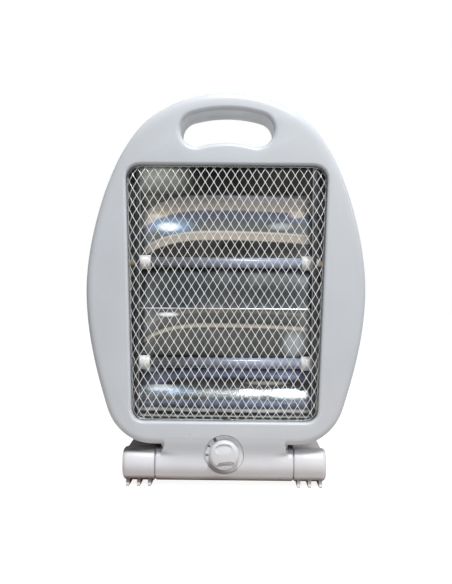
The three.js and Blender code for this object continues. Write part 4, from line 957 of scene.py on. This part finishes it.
METAL = metal_surface()
zinc_guard = finish_of(
    "zinc_guard",
    METAL,
    {
        "Colour": (0.74, 0.75, 0.745, 1),
        "Tint": (0.55, 0.53, 0.47, 1),
        "Tinted": 0.3,
        "Streaks": 0.06,
        "Dust": 0.12,
        "Roughness": 0.4,
        "Grain": 0.1,
    },
    Metallic=0.55,
)
fitted(guard(), zinc_guard, "housing", "zinc_wire", "mesh_guard", angle=60)

# ---- Reflector box -----------------------------------------------------------------------------------
# Two troughs of bright rolled aluminium, one behind each tube, meet at a folded strip. A dark heat shield
# wraps round them, and a plate at each end carries the tubes. The troughs' colour holds painted
# reflections: level bands and soft bright spots of painted glint.

TROUGH_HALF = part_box("upper_reflector")[1].x / MM
RIDGE, TROUGH_TOP, TROUGH_LOW = 166.0, 274.0, 65.8
TROUGH_FRONT, RIDGE_DEPTH, TROUGH_DEEP, STRIP = 16.0, 34.0, 46.0, 0.9
TROUGH_SHEET = 0.8


def trough_depth(z, edge):
    """The trough's curve: deepest half way from the ridge to its edge."""
    middle = (RIDGE + edge) / 2
    t = (z - middle) / (edge - middle)
    rise = np.where(t < 0, TROUGH_DEEP - RIDGE_DEPTH, TROUGH_DEEP - TROUGH_FRONT)
    return TROUGH_DEEP - rise * np.abs(t) ** 2.2


def trough(name, edge, seed):
    """A bent sheet that isn't quite flat along its length. The lower one ends in a lip behind the guard."""
    rng = np.random.default_rng(seed)
    limits = [(1.5, 6), (0, 6.28), (0, 6.28), (0.02, 0.08)]
    waves = [[rng.uniform(low, high) for low, high in limits] for _ in range(5)]
    z = np.linspace(RIDGE + math.copysign(STRIP + 0.3, edge - RIDGE), edge, 61)
    face = trough_depth(z, edge)
    if edge < RIDGE:
        z = np.append(z, [edge - 0.4, edge - 3.2])
        face = np.append(face, [TROUGH_FRONT + 0.1, TROUGH_FRONT + 0.3])
    rings = []
    for x in np.linspace(-TROUGH_HALF, TROUGH_HALF, 65):
        share = x / TROUGH_HALF
        dent = sum(size * np.sin(n * share * 3.1 + p) * np.sin(z / 17 + q) for n, p, q, size in waves)
        dent = dent * (1 - np.abs(np.linspace(-1, 1, len(z))) ** 6)
        front = np.column_stack([face + dent, z])
        back = np.column_stack([face + dent + TROUGH_SHEET, z])[::-1]
        rings.append(standing_at(x, np.vstack([front, back])))
    return skin(name, rings)


# The bands and spots of the troughs are painted reflections; this gain scales their colours.
REFLECTION_PAINT_GAIN = 0.95  # how much of each band's colour the sheet gives back


def painted_reflection_colour(tree, height, low, high, bands):
    """The painted reflection's colour at a height from bands, which are (height, colour) from the lowest up.
    """
    ramp = node(tree, "ShaderNodeValToRGB", {"Fac": spread(tree, height, low * MM, high * MM, 0, 1)})
    stops = ramp.color_ramp.elements
    while len(stops) > 1:
        stops.remove(stops[-1])
    stops[0].position = (bands[0][0] - low) / (high - low)
    for z, _ in bands[1:]:
        stops.new((z - low) / (high - low))
    for stop, (_, colour) in zip(stops, bands):
        stop.color = (*(REFLECTION_PAINT_GAIN * channel for channel in colour), 1)
    return ramp.outputs["Color"]


def sheet_with_painted_reflections(name, low, high, bands, spots):
    """Bright sheet with painted reflections: bands that sag towards its ends, and oval spots of painted
    glint.
    """
    material = finish_of(
        name,
        METAL,
        {
            "Tint": (0.42, 0.37, 0.3, 1),
            "Tinted": 0.08,
            "Streaks": 0.05,
            "Dust": 0.03,
            "Roughness": 0.2,
            "Grain": 0.05,
        },
        Metallic=1.0,
    )
    tree = material.node_tree
    axes = axes_of(tree)
    out = maths(tree, "ADD", axes["X"], 12 * MM)
    left = maths(tree, "MAXIMUM", maths(tree, "MULTIPLY", out, -16.0), 0.0)
    right = maths(tree, "MAXIMUM", maths(tree, "MULTIPLY", out, 7.0), 0.0)
    sag = maths(tree, "ADD", maths(tree, "POWER", left, 3.0), maths(tree, "POWER", right, 3.0))
    sag = maths(tree, "MULTIPLY", sag, spread(tree, axes["Z"], 74 * MM, 95 * MM, 0, 1))
    sway = spread(tree, noise(tree, 9, 2, (1, 1, 0.3)), 0.3, 0.7, -0.0006, 0.0006)
    height = maths(tree, "ADD", maths(tree, "MULTIPLY_ADD", sag, 12.5 * MM, axes["Z"]), sway)
    wear = spread(tree, noise(tree, 1, 5, (26, 160, 160)), 0.35, 0.75, 0, 0.12)
    colour = mixed(tree, wear, painted_reflection_colour(tree, height, low, high, bands), (0.2, 0.21, 0.22, 1))
    # Painted reflections: paler towards the ends, and oval painted glints over the bands.
    end = spread(tree, maths(tree, "ABSOLUTE", axes["X"]), 66 * MM, 84 * MM, 0, 0.35)
    colour = mixed(tree, end, colour, (0.3, 0.33, 0.36, 1))
    for x, z, half_wide, half_high, amount, tone in spots:
        out = reach(tree, axes["X"], axes["Z"], x, z, half_wide, half_high)
        colour = mixed(tree, spread(tree, out, 1.0, 0.1, 0, amount), colour, (*tone, 1))
    tree.links.new(colour, colour_of(tree))
    return material


# Colours of the painted reflections in the troughs.
TAN_REFLECTION, PALE, BLUE = (0.45, 0.41, 0.35), (0.52, 0.51, 0.48), (0.14, 0.17, 0.25)
BLACK_REFLECTION, GREY_STEEL, GREY_REFLECTION = (0.01, 0.011, 0.013), (0.035, 0.045, 0.055), (0.1, 0.11, 0.115)
GLINT, WARM_GLINT = (0.85, 0.93, 1.0), (0.85, 0.8, 0.72)
upper_reflection_paint = sheet_with_painted_reflections("upper_trough_sheet", 166, 274, [
    (166.5, GREY_REFLECTION), (170, GREY_STEEL), (180, (0.045, 0.055, 0.065)), (203, GREY_STEEL), (215, BLACK_REFLECTION),
    (232, BLACK_REFLECTION), (233, TAN_REFLECTION), (239, (0.36, 0.32, 0.27)), (240.5, PALE), (242, GREY_REFLECTION),
    (249, (0.1, 0.115, 0.12)), (251.5, (0.1, 0.12, 0.16)), (253, BLUE), (259.5, (0.16, 0.2, 0.29)),
    (261, (0.62, 0.6, 0.55)), (263, (0.58, 0.53, 0.46)), (271, (0.58, 0.54, 0.47)),
    (272.5, (0.66, 0.64, 0.6)), (274, (0.2, 0.2, 0.18)),
], [
    (-54, 246, 25, 9.5, 0.85, (0.2, 0.34, 0.52)), (-56, 245, 13, 5.0, 1.0, GLINT),
    (-68, 255, 9, 3.0, 0.7, WARM_GLINT), (68, 257, 9, 4, 0.8, WARM_GLINT), (52, 246, 14, 4, 0.3, GLINT),
])
lower_reflection_paint = sheet_with_painted_reflections("lower_trough_sheet", 62, 166, [
    (62, (0.4, 0.41, 0.38)), (65.3, (0.46, 0.47, 0.44)), (66, (0.05, 0.052, 0.055)),
    (68, (0.03, 0.032, 0.035)), (69, (0.95, 0.96, 0.96)), (70.5, (0.9, 0.9, 0.9)), (71.5, GREY_STEEL),
    (74, BLUE), (77, (0.16, 0.19, 0.28)), (79, GREY_STEEL), (84, GREY_REFLECTION), (92, (0.07, 0.08, 0.09)),
    (95, BLACK_REFLECTION), (98, BLACK_REFLECTION), (100, (0.13, 0.16, 0.26)), (107, (0.17, 0.2, 0.3)),
    (121, (0.05, 0.055, 0.055)), (143, (0.06, 0.065, 0.065)), (147, (0.045, 0.05, 0.05)),
    (148.5, (0.34, 0.33, 0.29)), (150.5, (0.3, 0.29, 0.25)), (152, (0.03, 0.034, 0.032)),
    (161, (0.09, 0.1, 0.1)), (163.5, (0.2, 0.2, 0.19)), (166, GREY_REFLECTION),
], [
    (-56, 160, 12, 2.6, 1.0, GLINT), (-56, 87, 32, 5.5, 0.7, (0.25, 0.36, 0.5)),
    (-64, 89, 20, 3.6, 1.0, GLINT), (-72, 106, 10, 3.0, 0.8, GLINT), (66, 130, 12, 18, 0.25, GLINT),
    (40, 94, 24, 2.2, 0.5, WARM_GLINT),
])
troughs = [("upper", TROUGH_TOP, 4, upper_reflection_paint), ("lower", TROUGH_LOW, 9, lower_reflection_paint)]
for level, edge, seed, finish in troughs:
    sheet = trough(f"{level}_trough", edge, seed)
    fitted(sheet, finish, "housing", "mirror_sheet", f"{level}_reflector", angle=50)

bright_sheet = finish_of(
    "bright_sheet",
    METAL,
    {
        "Colour": (0.5, 0.51, 0.52, 1),
        "Tint": (0.3, 0.26, 0.2, 1),
        "Tinted": 0.35,
        "Streaks": 0.12,
        "Dust": 0.15,
        "Roughness": 0.26,
        "Grain": 0.15,
    },
    Metallic=1.0,
)


def strip():
    """A folded strip with a rounded front."""
    low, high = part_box("reflector_strip")
    x0, x1 = low.x / MM, high.x / MM
    z0, z1 = low.z / MM, high.z / MM
    front, back = (low.y - FACE) / MM, (high.y - FACE) / MM
    middle, half = (z0 + z1) / 2, (z1 - z0) / 2
    nose = arc(0, 0, half, -90, 90, 9)
    profile = np.vstack([
        np.column_stack([front + half - nose[:, 0], middle + nose[:, 1]]),
        [(back, z1)],
        [(back, z0)],
    ])
    return skin("trough_strip", [standing_at(x, profile) for x in np.linspace(x0, x1, 9)])


fitted(strip(), bright_sheet, "housing", "mirror_sheet", "reflector_strip", angle=50)


def kept(material, *nodes):
    """CAD nodes whose shape stays, in a better material."""
    for name in nodes:
        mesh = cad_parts[name].data
        mesh.materials.clear()
        mesh.materials.append(material)


def edge_lit_side_sheet():
    """Sheet painted light along the front edge of its flange, as a painted highlight, and dark behind it, as
    painted shade.
    """
    material = finish_of(
        "edge_lit_side_sheet",
        METAL,
        {
            "Tint": (0.05, 0.045, 0.04, 1),
            "Tinted": 0.3,
            "Streaks": 0.12,
            "Dust": 0.06,
            "Roughness": 0.34,
            "Grain": 0.15,
        },
        Metallic=0.9,
    )
    tree = material.node_tree
    # Painted highlight on the flange's edge, painted shade on the rest of the sheet.
    edge = spread(tree, maths(tree, "ABSOLUTE", axes_of(tree)["X"]), 82.1 * MM, 82.6 * MM, 1, 0)
    tree.links.new(mixed(tree, edge, (0.02, 0.022, 0.025, 1), (0.13, 0.14, 0.15, 1)), colour_of(tree))
    return material


kept(edge_lit_side_sheet(), "left_side_plate", "right_side_plate")


def shield_sheet():
    """Dark blued sheet, paler towards its upper left corner and a little paler towards the upper right."""
    material = finish_of(
        "shield_sheet",
        METAL,
        {
            "Tint": (0.05, 0.045, 0.04, 1),
            "Tinted": 0.4,
            "Streaks": 0.15,
            "Dust": 0.0,
            "Roughness": 0.42,
            "Grain": 0.2,
        },
        Metallic=0.95,
    )
    tree = material.node_tree
    axes = axes_of(tree)
    up = spread(tree, axes["Z"], 272 * MM, 286 * MM, 0.1, 1)
    left = maths(tree, "MULTIPLY", spread(tree, axes["X"], -62 * MM, -30 * MM, 1, 0), up)
    pale_patch = maths(tree, "MULTIPLY", left, spread(tree, noise(tree, 60, 3), 0.2, 0.6, 0.6, 1))
    right = maths(tree, "MULTIPLY", spread(tree, axes["X"], 5 * MM, 50 * MM, 0, 0.1), up)
    colour = mixed(tree, pale_patch, (0.006, 0.006, 0.007, 1), (0.34, 0.36, 0.32, 1))
    tree.links.new(mixed(tree, right, colour, (0.13, 0.13, 0.12, 1)), colour_of(tree))
    return material


kept(shield_sheet(), "heat_shield")

# ---- Heating tubes -----------------------------------------------------------------------------------
# Each tube is frosted quartz round a wound resistance wire. A glazed ceramic cap holds it at each end
# plate, and a brass blade comes out of the cap for the push-on lead.

TUBE_DEPTH = 30.0
TUBE_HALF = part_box("upper_quartz_tube")[1].x / MM
TUBE_RADIUS = 5.0
COIL_RADIUS, WIRE = 3.0, 0.34
CAP_RADIUS, CAP_FACE = 6.75, 84.3
TUBES = {"upper": 210.2, "lower": 114.0}


def quartz_tube(level, z):
    """A plain tube with its ends melted round."""
    profile = [
        (TUBE_RADIUS, -TUBE_HALF + 0.4), (TUBE_RADIUS, TUBE_HALF - 0.4), (TUBE_RADIUS - 0.25, TUBE_HALF),
        (TUBE_RADIUS - 1, TUBE_HALF), (TUBE_RADIUS - 1, -TUBE_HALF), (TUBE_RADIUS - 0.25, -TUBE_HALF),
    ]
    return turned(f"{level}_quartz", profile, 0, (0, TUBE_DEPTH, z), 56)


def coil(level, z):
    """The wound wire, close along the middle and drawn out straight at the ends."""
    t = np.linspace(-1, 1, 1500)
    x = t * (TUBE_HALF - 1.5)
    turn = 2 * math.pi * 62 * t
    size = (COIL_RADIUS - WIRE) * smoothstep(0, 0.035, 1 - np.abs(t))
    centres = np.column_stack([x, TUBE_DEPTH + size * np.cos(turn), z + size * np.sin(turn)])
    radial = unit(np.column_stack([np.zeros_like(t), np.cos(turn), np.sin(turn)]))
    wire = np.full(len(t), WIRE)
    return gathered(f"{level}_coil", [tube(centres, radial, wire, wire, 5)])


def ceramic_cap(level, way, side, z):
    """A cap that holds the tube's end, with a neck through the side plate and a slot for the blade."""
    inner = CAP_FACE - 12
    profile = [
        (TUBE_RADIUS + 0.3, inner + 0.3), (TUBE_RADIUS + 0.6, inner), (CAP_RADIUS - 0.9, inner),
        (CAP_RADIUS - 0.3, inner + 0.25), (CAP_RADIUS, inner + 0.9), (CAP_RADIUS, CAP_FACE - 0.5),
        (CAP_RADIUS - 0.4, CAP_FACE), (4.5, CAP_FACE), (4.5, CAP_FACE + 3.6), (4.1, CAP_FACE + 4),
        (1.2, CAP_FACE + 4), (1.2, inner + 7), (TUBE_RADIUS + 0.3, inner + 7),
    ]
    return turned(f"{level}_{way}_cap", [(r, side * x) for r, x in profile], 0, (0, TUBE_DEPTH, z), 48)


def frosted_quartz():
    """Milky quartz, painted dark at its left end and pale lavender towards the right, as painted shade and
    light, with faint drawing lines.
    """
    material = finish_of(
        "frosted_quartz",
        MOULDED,
        {
            "Aged": (0.4, 0.42, 0.5, 1),
            "Mottle": 0.05,
            "Grime and shade": 0.0,
            "Scuffs": 0.0,
            "Roughness": 0.3,
            "Grain": 0.04,
        },
        Coat_Weight=0.5,
        Coat_Roughness=0.12,
        Transmission_Weight=0.25,
        IOR=1.46,
    )
    tree = material.node_tree
    # Painted shade at the left end, running into painted light towards the right.
    along = spread(tree, axes_of(tree)["X"], -45 * MM, 30 * MM, 0, 1)
    tree.links.new(mixed(tree, along, (0.045, 0.05, 0.06, 1), (0.46, 0.52, 0.7, 1)), colour_of(tree))
    return material


quartz_finish = frosted_quartz()
coil_wire = finish_of(
    "coil_wire",
    METAL,
    {
        "Colour": (0.3, 0.28, 0.27, 1),
        "Tinted": 0.5,
        "Streaks": 0.1,
        "Dust": 0.0,
        "Roughness": 0.5,
        "Grain": 0.1,
    },
    Metallic=0.9,
)
glazed_ceramic = finish_of(
    "glazed_ceramic",
    MOULDED,
    {
        "Colour": (0.93, 0.92, 0.9, 1),
        "Aged": (0.85, 0.83, 0.78, 1),
        "Mottle": 0.05,
        "Grime and shade": 0.1,
        "Scuffs": 0.2,
        "Roughness": 0.34,
        "Grain": 0.2,
    },
)
blade_brass = finish_of(
    "blade_brass",
    METAL,
    {
        "Colour": (0.56, 0.42, 0.2, 1),
        "Tinted": 0.3,
        "Streaks": 0.12,
        "Dust": 0.1,
        "Roughness": 0.32,
        "Grain": 0.15,
    },
    Metallic=1.0,
)
for level, z in TUBES.items():
    fitted(quartz_tube(level, z), quartz_finish, "housing", "quartz", f"{level}_quartz_tube")
    fitted(coil(level, z), coil_wire, "housing", "heater_wire", f"{level}_heating_coil", angle=60)
    for way, side in SIDES.items():
        cap = ceramic_cap(level, way, side, z)
        fitted(cap, glazed_ceramic, "housing", "ceramic", f"{level}_{way}_ceramic_cap")
        kept(blade_brass, f"{level}_{way}_terminal")

# ---- Dial --------------------------------------------------------------------------------------------
# A pale grey card of plastic lies in the recess with the off mark and the marks of the two heats printed on
# it, and the knob, moulded in a glossier white, presses onto the rotary switch's steel shaft.

KNOB_RADIUS, KNOB_FRONT, KNOB_BACK = 13.8, 6.5, 2.8
GRIP_TILT, HIGH_SCOOP, LOW_SCOOP = math.radians(6), 1.35, 2.9
CARD_FRONT = (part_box("dial_plate")[0].y - FACE) / MM


def knob():
    """A low dome with a finger scoop above its grip and a narrow one below."""
    sides, steps, edge = 168, 58, 3.4
    a = np.linspace(0, 2 * math.pi, sides, endpoint=False)
    rings = []
    for j in range(steps + 1):
        r = KNOB_RADIUS * (max(j, 0.02) / steps)
        x, z = r * np.cos(a), r * np.sin(a)
        u = x * math.cos(GRIP_TILT) + z * math.sin(GRIP_TILT)
        v = -x * math.sin(GRIP_TILT) + z * math.cos(GRIP_TILT)
        over = max(0.0, r - (KNOB_RADIUS - edge))
        height = KNOB_FRONT - 0.9 * (r / KNOB_RADIUS) ** 2 - (edge - math.sqrt(max(0.0, edge**2 - over**2)))
        # Each scoop's outline is where its value falls to 0.
        high = 1 - (u / 8.2) ** 2 - ((v - 6.2) / 5.0) ** 2
        low = 1 - ((u - 0.8) / 8.0) ** 4 - ((v + 9.2) / 3.5) ** 2
        scoop = HIGH_SCOOP * smoothstep(0, 0.26, high) * smoothstep(0.2, 10.2, v)
        easing = 1 - 0.8 * smoothstep(6.0, 12.0, -v)
        scoop += LOW_SCOOP * smoothstep(0, 0.32, low) * easing * smoothstep(13.2, 11.8, r)
        rings.append(np.column_stack([x, -(height - scoop), z + DIAL_HEIGHT]))
    skirt = [(0, -0.5), (0, 1.2), (0, 2.3), (0.15, 2.65), (0.5, KNOB_BACK)]
    for inset, depth in skirt:
        r = KNOB_RADIUS - inset
        rings.append(np.column_stack([r * np.cos(a), np.full(sides, depth), r * np.sin(a) + DIAL_HEIGHT]))
    blank = skin("dial_knob", rings)
    return worked(blank, "DIFFERENCE", rod("bore", 3.3, 0, DIAL_HEIGHT, -3.1, KNOB_BACK + 1))


def dial_card():
    """A thin ring that drops into the recess."""
    profile = [
        (3.6, CARD_FRONT), (DIAL_RADIUS - 0.2, CARD_FRONT), (DIAL_RADIUS - 0.05, CARD_FRONT + 0.15),
        (DIAL_RADIUS - 0.05, CARD_FRONT + 0.6), (3.6, CARD_FRONT + 0.6),
    ]
    return turned("dial_card", profile, 1, (0, 0, DIAL_HEIGHT), 128)


def mark(outline, bearing):
    """A printed mark, drawn upright round zero, set on the card at a bearing with its head outwards."""
    a = math.radians(bearing)
    out, along = np.array([math.cos(a), math.sin(a)]), np.array([math.sin(a), -math.cos(a)])
    flat = outline[:, :1] * along + (outline[:, 1:] + 16.2) * out + np.array([0, DIAL_HEIGHT])
    depths = (CARD_FRONT - 0.06, CARD_FRONT + 0.1)
    return [np.column_stack([flat[:, 0], np.full(len(flat), depth), flat[:, 1]]) for depth in depths]


def bar_mark(x, half_wide, half_high):
    """A bar with slightly rounded corners."""
    corner = 0.12
    return np.vstack([
        arc(x + half_wide - corner, half_high - corner, corner, 0, 90, 4),
        arc(x - half_wide + corner, half_high - corner, corner, 90, 180, 4),
        arc(x - half_wide + corner, corner - half_high, corner, 180, 270, 4),
        arc(x + half_wide - corner, corner - half_high, corner, 270, 360, 4),
    ])


def printed_marks():
    """The off ring, one bar for the low heat and two for the high."""
    prints = [skin("mark", mark(bar_mark(0, 0.62, 1.5), 152))]
    prints += [skin("mark", mark(bar_mark(x, 0.66, 1.7), 123)) for x in (-0.72, 0.72)]
    oval = arc(0, 0, 1, 0, 360, 37)[:-1]
    zero = skin("dial_marks", mark(oval * np.array([1.15, 1.45]), 182))
    hole = mark(oval * np.array([0.45, 0.75]), 182)
    hole[0][:, 1] -= 1
    hole[1][:, 1] += 1
    return worked(worked(zero, "DIFFERENCE", skin("hole", hole)), "UNION", *prints)


dial_grey = finish_of(
    "dial_grey",
    MOULDED,
    {
        "Colour": (0.83, 0.835, 0.86, 1),
        "Aged": (0.8, 0.795, 0.8, 1),
        "Mottle": 0.03,
        "Grime and shade": 0.4,
        "Scuffs": 0.2,
        "Roughness": 0.45,
        "Grain": 0.15,
    },
)


def painted_knob_shadow(material):
    """Painted shadow of the knob in the lower left of the recess."""
    tree = material.node_tree
    axes = axes_of(tree)
    low = maths(tree, "MULTIPLY_ADD", axes["X"], 0.45, axes["Z"])
    # Painted shadow: darker towards the lower left, below the knob.
    painted_shade_over(tree, spread(tree, low, 19.5 * MM, 13.5 * MM, 0, 0.85), (0.13, 0.12, 0.11, 1))


painted_knob_shadow(dial_grey)
knob_moulding = finish_of(
    "knob_moulding",
    MOULDED,
    {
        "Colour": (0.69, 0.7, 0.72, 1),
        "Aged": (0.67, 0.665, 0.67, 1),
        "Mottle": 0.02,
        "Grime and shade": 0.1,
        "Scuffs": 0.3,
        "Roughness": 0.4,
        "Grain": 0.08,
    },
)


def painted_scoop_shade(material):
    """Painted shade, grey, in the knob's lower scoop."""
    tree = material.node_tree
    axes = axes_of(tree)
    scoop = reach(tree, axes["X"], axes["Z"], -0.2, DIAL_HEIGHT - 9.5, 8.6, 2.4)
    # Painted shade in the lower scoop, which turns with the knob.
    painted_shade_over(tree, spread(tree, scoop, 1.3, 0.5, 0, 0.5), (0.22, 0.21, 0.2, 1))


painted_scoop_shade(knob_moulding)
black_moulding = finish_of(
    "black_moulding",
    MOULDED,
    {
        "Colour": (0.02, 0.02, 0.022, 1),
        "Aged": (0.035, 0.033, 0.03, 1),
        "Mottle": 0.1,
        "Grime and shade": 0.2,
        "Scuffs": 0.4,
        "Roughness": 0.5,
        "Grain": 0.25,
    },
)
fitted(dial_card(), dial_grey, "housing", "dial_plastic", "dial_plate")
fitted(printed_marks(), black_moulding, "housing", "black_plastic")
fitted(knob(), knob_moulding, "knob", "knob_plastic", "knob", angle=50)
kept(black_moulding, "rotary_switch")

# ---- Screws and pins ---------------------------------------------------------------------------------
# Zinc-plated pan-head screws with a cross recess hold the shells and the base cover. The feet turn on plain
# steel pins, each with a spring washer and a clip.

plated_steel = finish_of(
    "plated_steel",
    METAL,
    {
        "Colour": (0.5, 0.5, 0.49, 1),
        "Tint": (0.4, 0.36, 0.24, 1),
        "Tinted": 0.35,
        "Streaks": 0.08,
        "Dust": 0.12,
        "Roughness": 0.32,
        "Grain": 0.15,
    },
    Metallic=1.0,
)


def screw(name, x, z, seat, length):
    """A pan head on a shank, driven from the back."""
    profile = [
        (0, seat - length), (0.7, seat - length), (1.3, seat - length + 1.6), (1.3, seat + 0.3),
        (2.8, seat + 0.3), (3.0, seat + 0.6), (3.0, seat + 1.2), (2.7, seat + 1.75), (2.0, seat + 2.08),
        (0, seat + 2.2),
    ]
    body = turned(name, profile, 1, (x, 0, z), 40)
    deep, top = seat + 0.9, seat + 3
    bars = [
        block("cross", (x - 1.7, deep, z - 0.36), (x + 1.7, top, z + 0.36)),
        block("cross", (x - 0.36, deep, z - 1.7), (x + 0.36, top, z + 1.7)),
    ]
    return worked(body, "DIFFERENCE", *bars)


for way, side in SIDES.items():
    for level, x, z in SHELL_SCREWS:
        piece = screw(f"{way}_{level}_case_screw", side * x, z, SCREW_SEAT, 26)
        fitted(piece, plated_steel, "housing", "steel", f"{way}_{level}_shell_screw")
    piece = screw(f"{way}_base_screw", side * COVER_SCREW, BAR_HEIGHT, COVER_SEAT, 16)
    fitted(piece, plated_steel, "housing", "steel", f"{way}_cover_screw")
    kept(plated_steel, f"{way}_upper_plate_screw", f"{way}_lower_plate_screw")
    kept(plated_steel, f"{way}_foot_axle", f"{way}_foot_washer", f"{way}_foot_clip")
kept(plated_steel, "switch_shaft")

# ---- Cord's sleeve -----------------------------------------------------------------------------------
# A soft rubber grommet in the back, where the supply cord would enter. It snaps into the hole behind a
# round lip.


def inlet_sleeve():
    """A stepped ring, turned about the hole's axis."""
    low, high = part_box("cord_inlet")
    front, back = (low.y - FACE) / MM, (high.y - FACE) / MM
    lip = REAR_BACK + 0.3
    profile = [
        (3.2, front), (4.2, front), (4.7, front + 0.5), (4.7, lip), (6.6, lip), (7.0, lip + 0.4),
        (6.9, lip + 1.1), (6.1, back - 0.25), (5.0, back), (3.7, back), (3.2, back - 0.5),
    ]
    return turned("cord_sleeve", profile, 1, (INLET_X, 0, INLET_HEIGHT), 56)


grommet_rubber = finish_of(
    "grommet_rubber",
    MOULDED,
    {
        "Colour": (0.018, 0.018, 0.019, 1),
        "Aged": (0.04, 0.038, 0.035, 1),
        "Mottle": 0.15,
        "Grime and shade": 0.2,
        "Scuffs": 0.3,
        "Roughness": 0.75,
        "Grain": 0.4,
    },
)
fitted(inlet_sleeve(), grommet_rubber, "housing", "rubber", "cord_inlet")

# ---- Wiring and safety switches ----------------------------------------------------------------------
# Inside the bottom of the housing: a ceramic terminal block, silicone-sleeved glass-braid leads to the
# blades, the tip-over switch with its weighted brass arm, and a heat cut-out on the back of the heat
# shield.

sleeve_braid = finish_of(
    "sleeve_braid",
    MOULDED,
    {
        "Colour": (0.62, 0.58, 0.48, 1),
        "Aged": (0.5, 0.45, 0.36, 1),
        "Mottle": 0.12,
        "Grime and shade": 0.3,
        "Scuffs": 0.3,
        "Roughness": 0.7,
        "Grain": 0.6,
    },
)
kept(sleeve_braid, "tube_link_lead", "supply_lead", "lower_tube_lead", "upper_tube_lead")
kept(glazed_ceramic, "terminal_block")
kept(black_moulding, "tilt_switch_case", "thermal_cutout")
kept(blade_brass, "tilt_pendulum")

# ---- Stand-in studio ---------------------------------------------------------------------------------
# A floor that is warm close to the heater and a white surround. A soft lamp stands above in front, a weak
# one on the right and a broad one in front.

floor_mesh = bpy.data.meshes.new("studio_floor")
floor_mesh.from_pydata([(-5, -4, 0), (5, -4, 0), (5, 6, 0), (-5, 6, 0)], [], [(0, 1, 2, 3)])
floor = bpy.data.objects.new("studio_floor", floor_mesh)
bpy.context.scene.collection.objects.link(floor)

floor_paint = bpy.data.materials.new("studio_floor_paint")
floor_paint.use_nodes = True
tree = floor_paint.node_tree
tree.nodes.remove(tree.nodes["Principled BSDF"])
rays = node(tree, "ShaderNodeLightPath").outputs
seen = maths(tree, "MAXIMUM", rays["Is Camera Ray"], rays["Is Transmission Ray"])
where = node(tree, "ShaderNodeTexCoord").outputs["Object"]
distance = node(tree, "ShaderNodeVectorMath", {0: where}, operation="LENGTH").outputs["Value"]
close = spread(tree, distance, 0.2, 0.6, 1, 0)
paint = mixed(tree, close, (0.2, 0.2, 0.2, 1), (0.6, 0.54, 0.5, 1))
paint = node(tree, "ShaderNodeBsdfDiffuse", {"Color": paint})
# For glossy rays the floor gives no light within 0.13 m of the middle: painted shade, so that the undersides
# and the troughs mirror a dark floor close by.
mirrored = maths(tree, "MULTIPLY", rays["Is Glossy Ray"], spread(tree, distance, 0.13, 0.19, 0, 1))
light = maths(tree, "MULTIPLY_ADD", seen, spread(tree, close, 0, 1, 1, 0.9), mirrored)
glow = node(tree, "ShaderNodeEmission", {"Color": (1, 1, 1, 1), "Strength": light})
whole = node(tree, "ShaderNodeAddShader", {0: paint.outputs[0], 1: glow.outputs[0]})
tree.links.new(whole.outputs[0], tree.nodes["Material Output"].inputs["Surface"])
floor.data.materials.append(floor_paint)

world = bpy.data.worlds.new("studio")
bpy.context.scene.world = world
world.use_nodes = True
tree = world.node_tree
rays = node(tree, "ShaderNodeLightPath").outputs
seen = maths(tree, "MAXIMUM", rays["Is Camera Ray"], rays["Is Transmission Ray"])
seen = maths(tree, "MAXIMUM", seen, rays["Is Glossy Ray"])
sky = mixed(tree, seen, (0.24, 0.25, 0.272, 1), (1, 1, 1, 1))
tree.links.new(sky, tree.nodes["Background"].inputs["Color"])


def lamp(name, place, aim, size, power, colour):
    """A round soft lamp."""
    light = bpy.data.lights.new(name, "AREA")
    light.shape, light.size, light.energy, light.color = "DISK", size, power, colour
    made = bpy.data.objects.new(name, light)
    bpy.context.scene.collection.objects.link(made)
    made.location = place
    made.rotation_euler = (Vector(aim) - Vector(place)).to_track_quat("-Z", "Y").to_euler()


lamp("key", (0.22, -0.66, 1.5), (0, 0, 0.2), 0.35, 23, (0.96, 0.985, 1.0))
lamp("side", (1.3, -0.25, 0.75), (0, 0, 0.1), 0.4, 2, (1.0, 0.99, 0.985))
lamp("fill", (0.3, -1.45, 0.6), (0, 0, 0.1), 0.7, 3.6, (1.0, 0.99, 0.99))

camera_data = bpy.data.cameras.new("camera")
camera = bpy.data.objects.new("camera", camera_data)
bpy.context.scene.collection.objects.link(camera)
camera_data.sensor_width, camera_data.lens = 36.0, 62.88
camera_data.clip_start, camera_data.clip_end = 0.05, 30
camera.location = (0.010, FACE - 0.950, 0.188)
turn = Matrix.Rotation(math.radians(0.584), 4, "Z")
tip = Matrix.Rotation(math.radians(90 - 0.34), 4, "X")
lean = Matrix.Rotation(math.radians(0.5), 4, "Z")
camera.rotation_euler = (turn @ tip @ lean).to_euler()
bpy.context.scene.camera = camera
bpy.context.scene.view_settings.view_transform = "Standard"
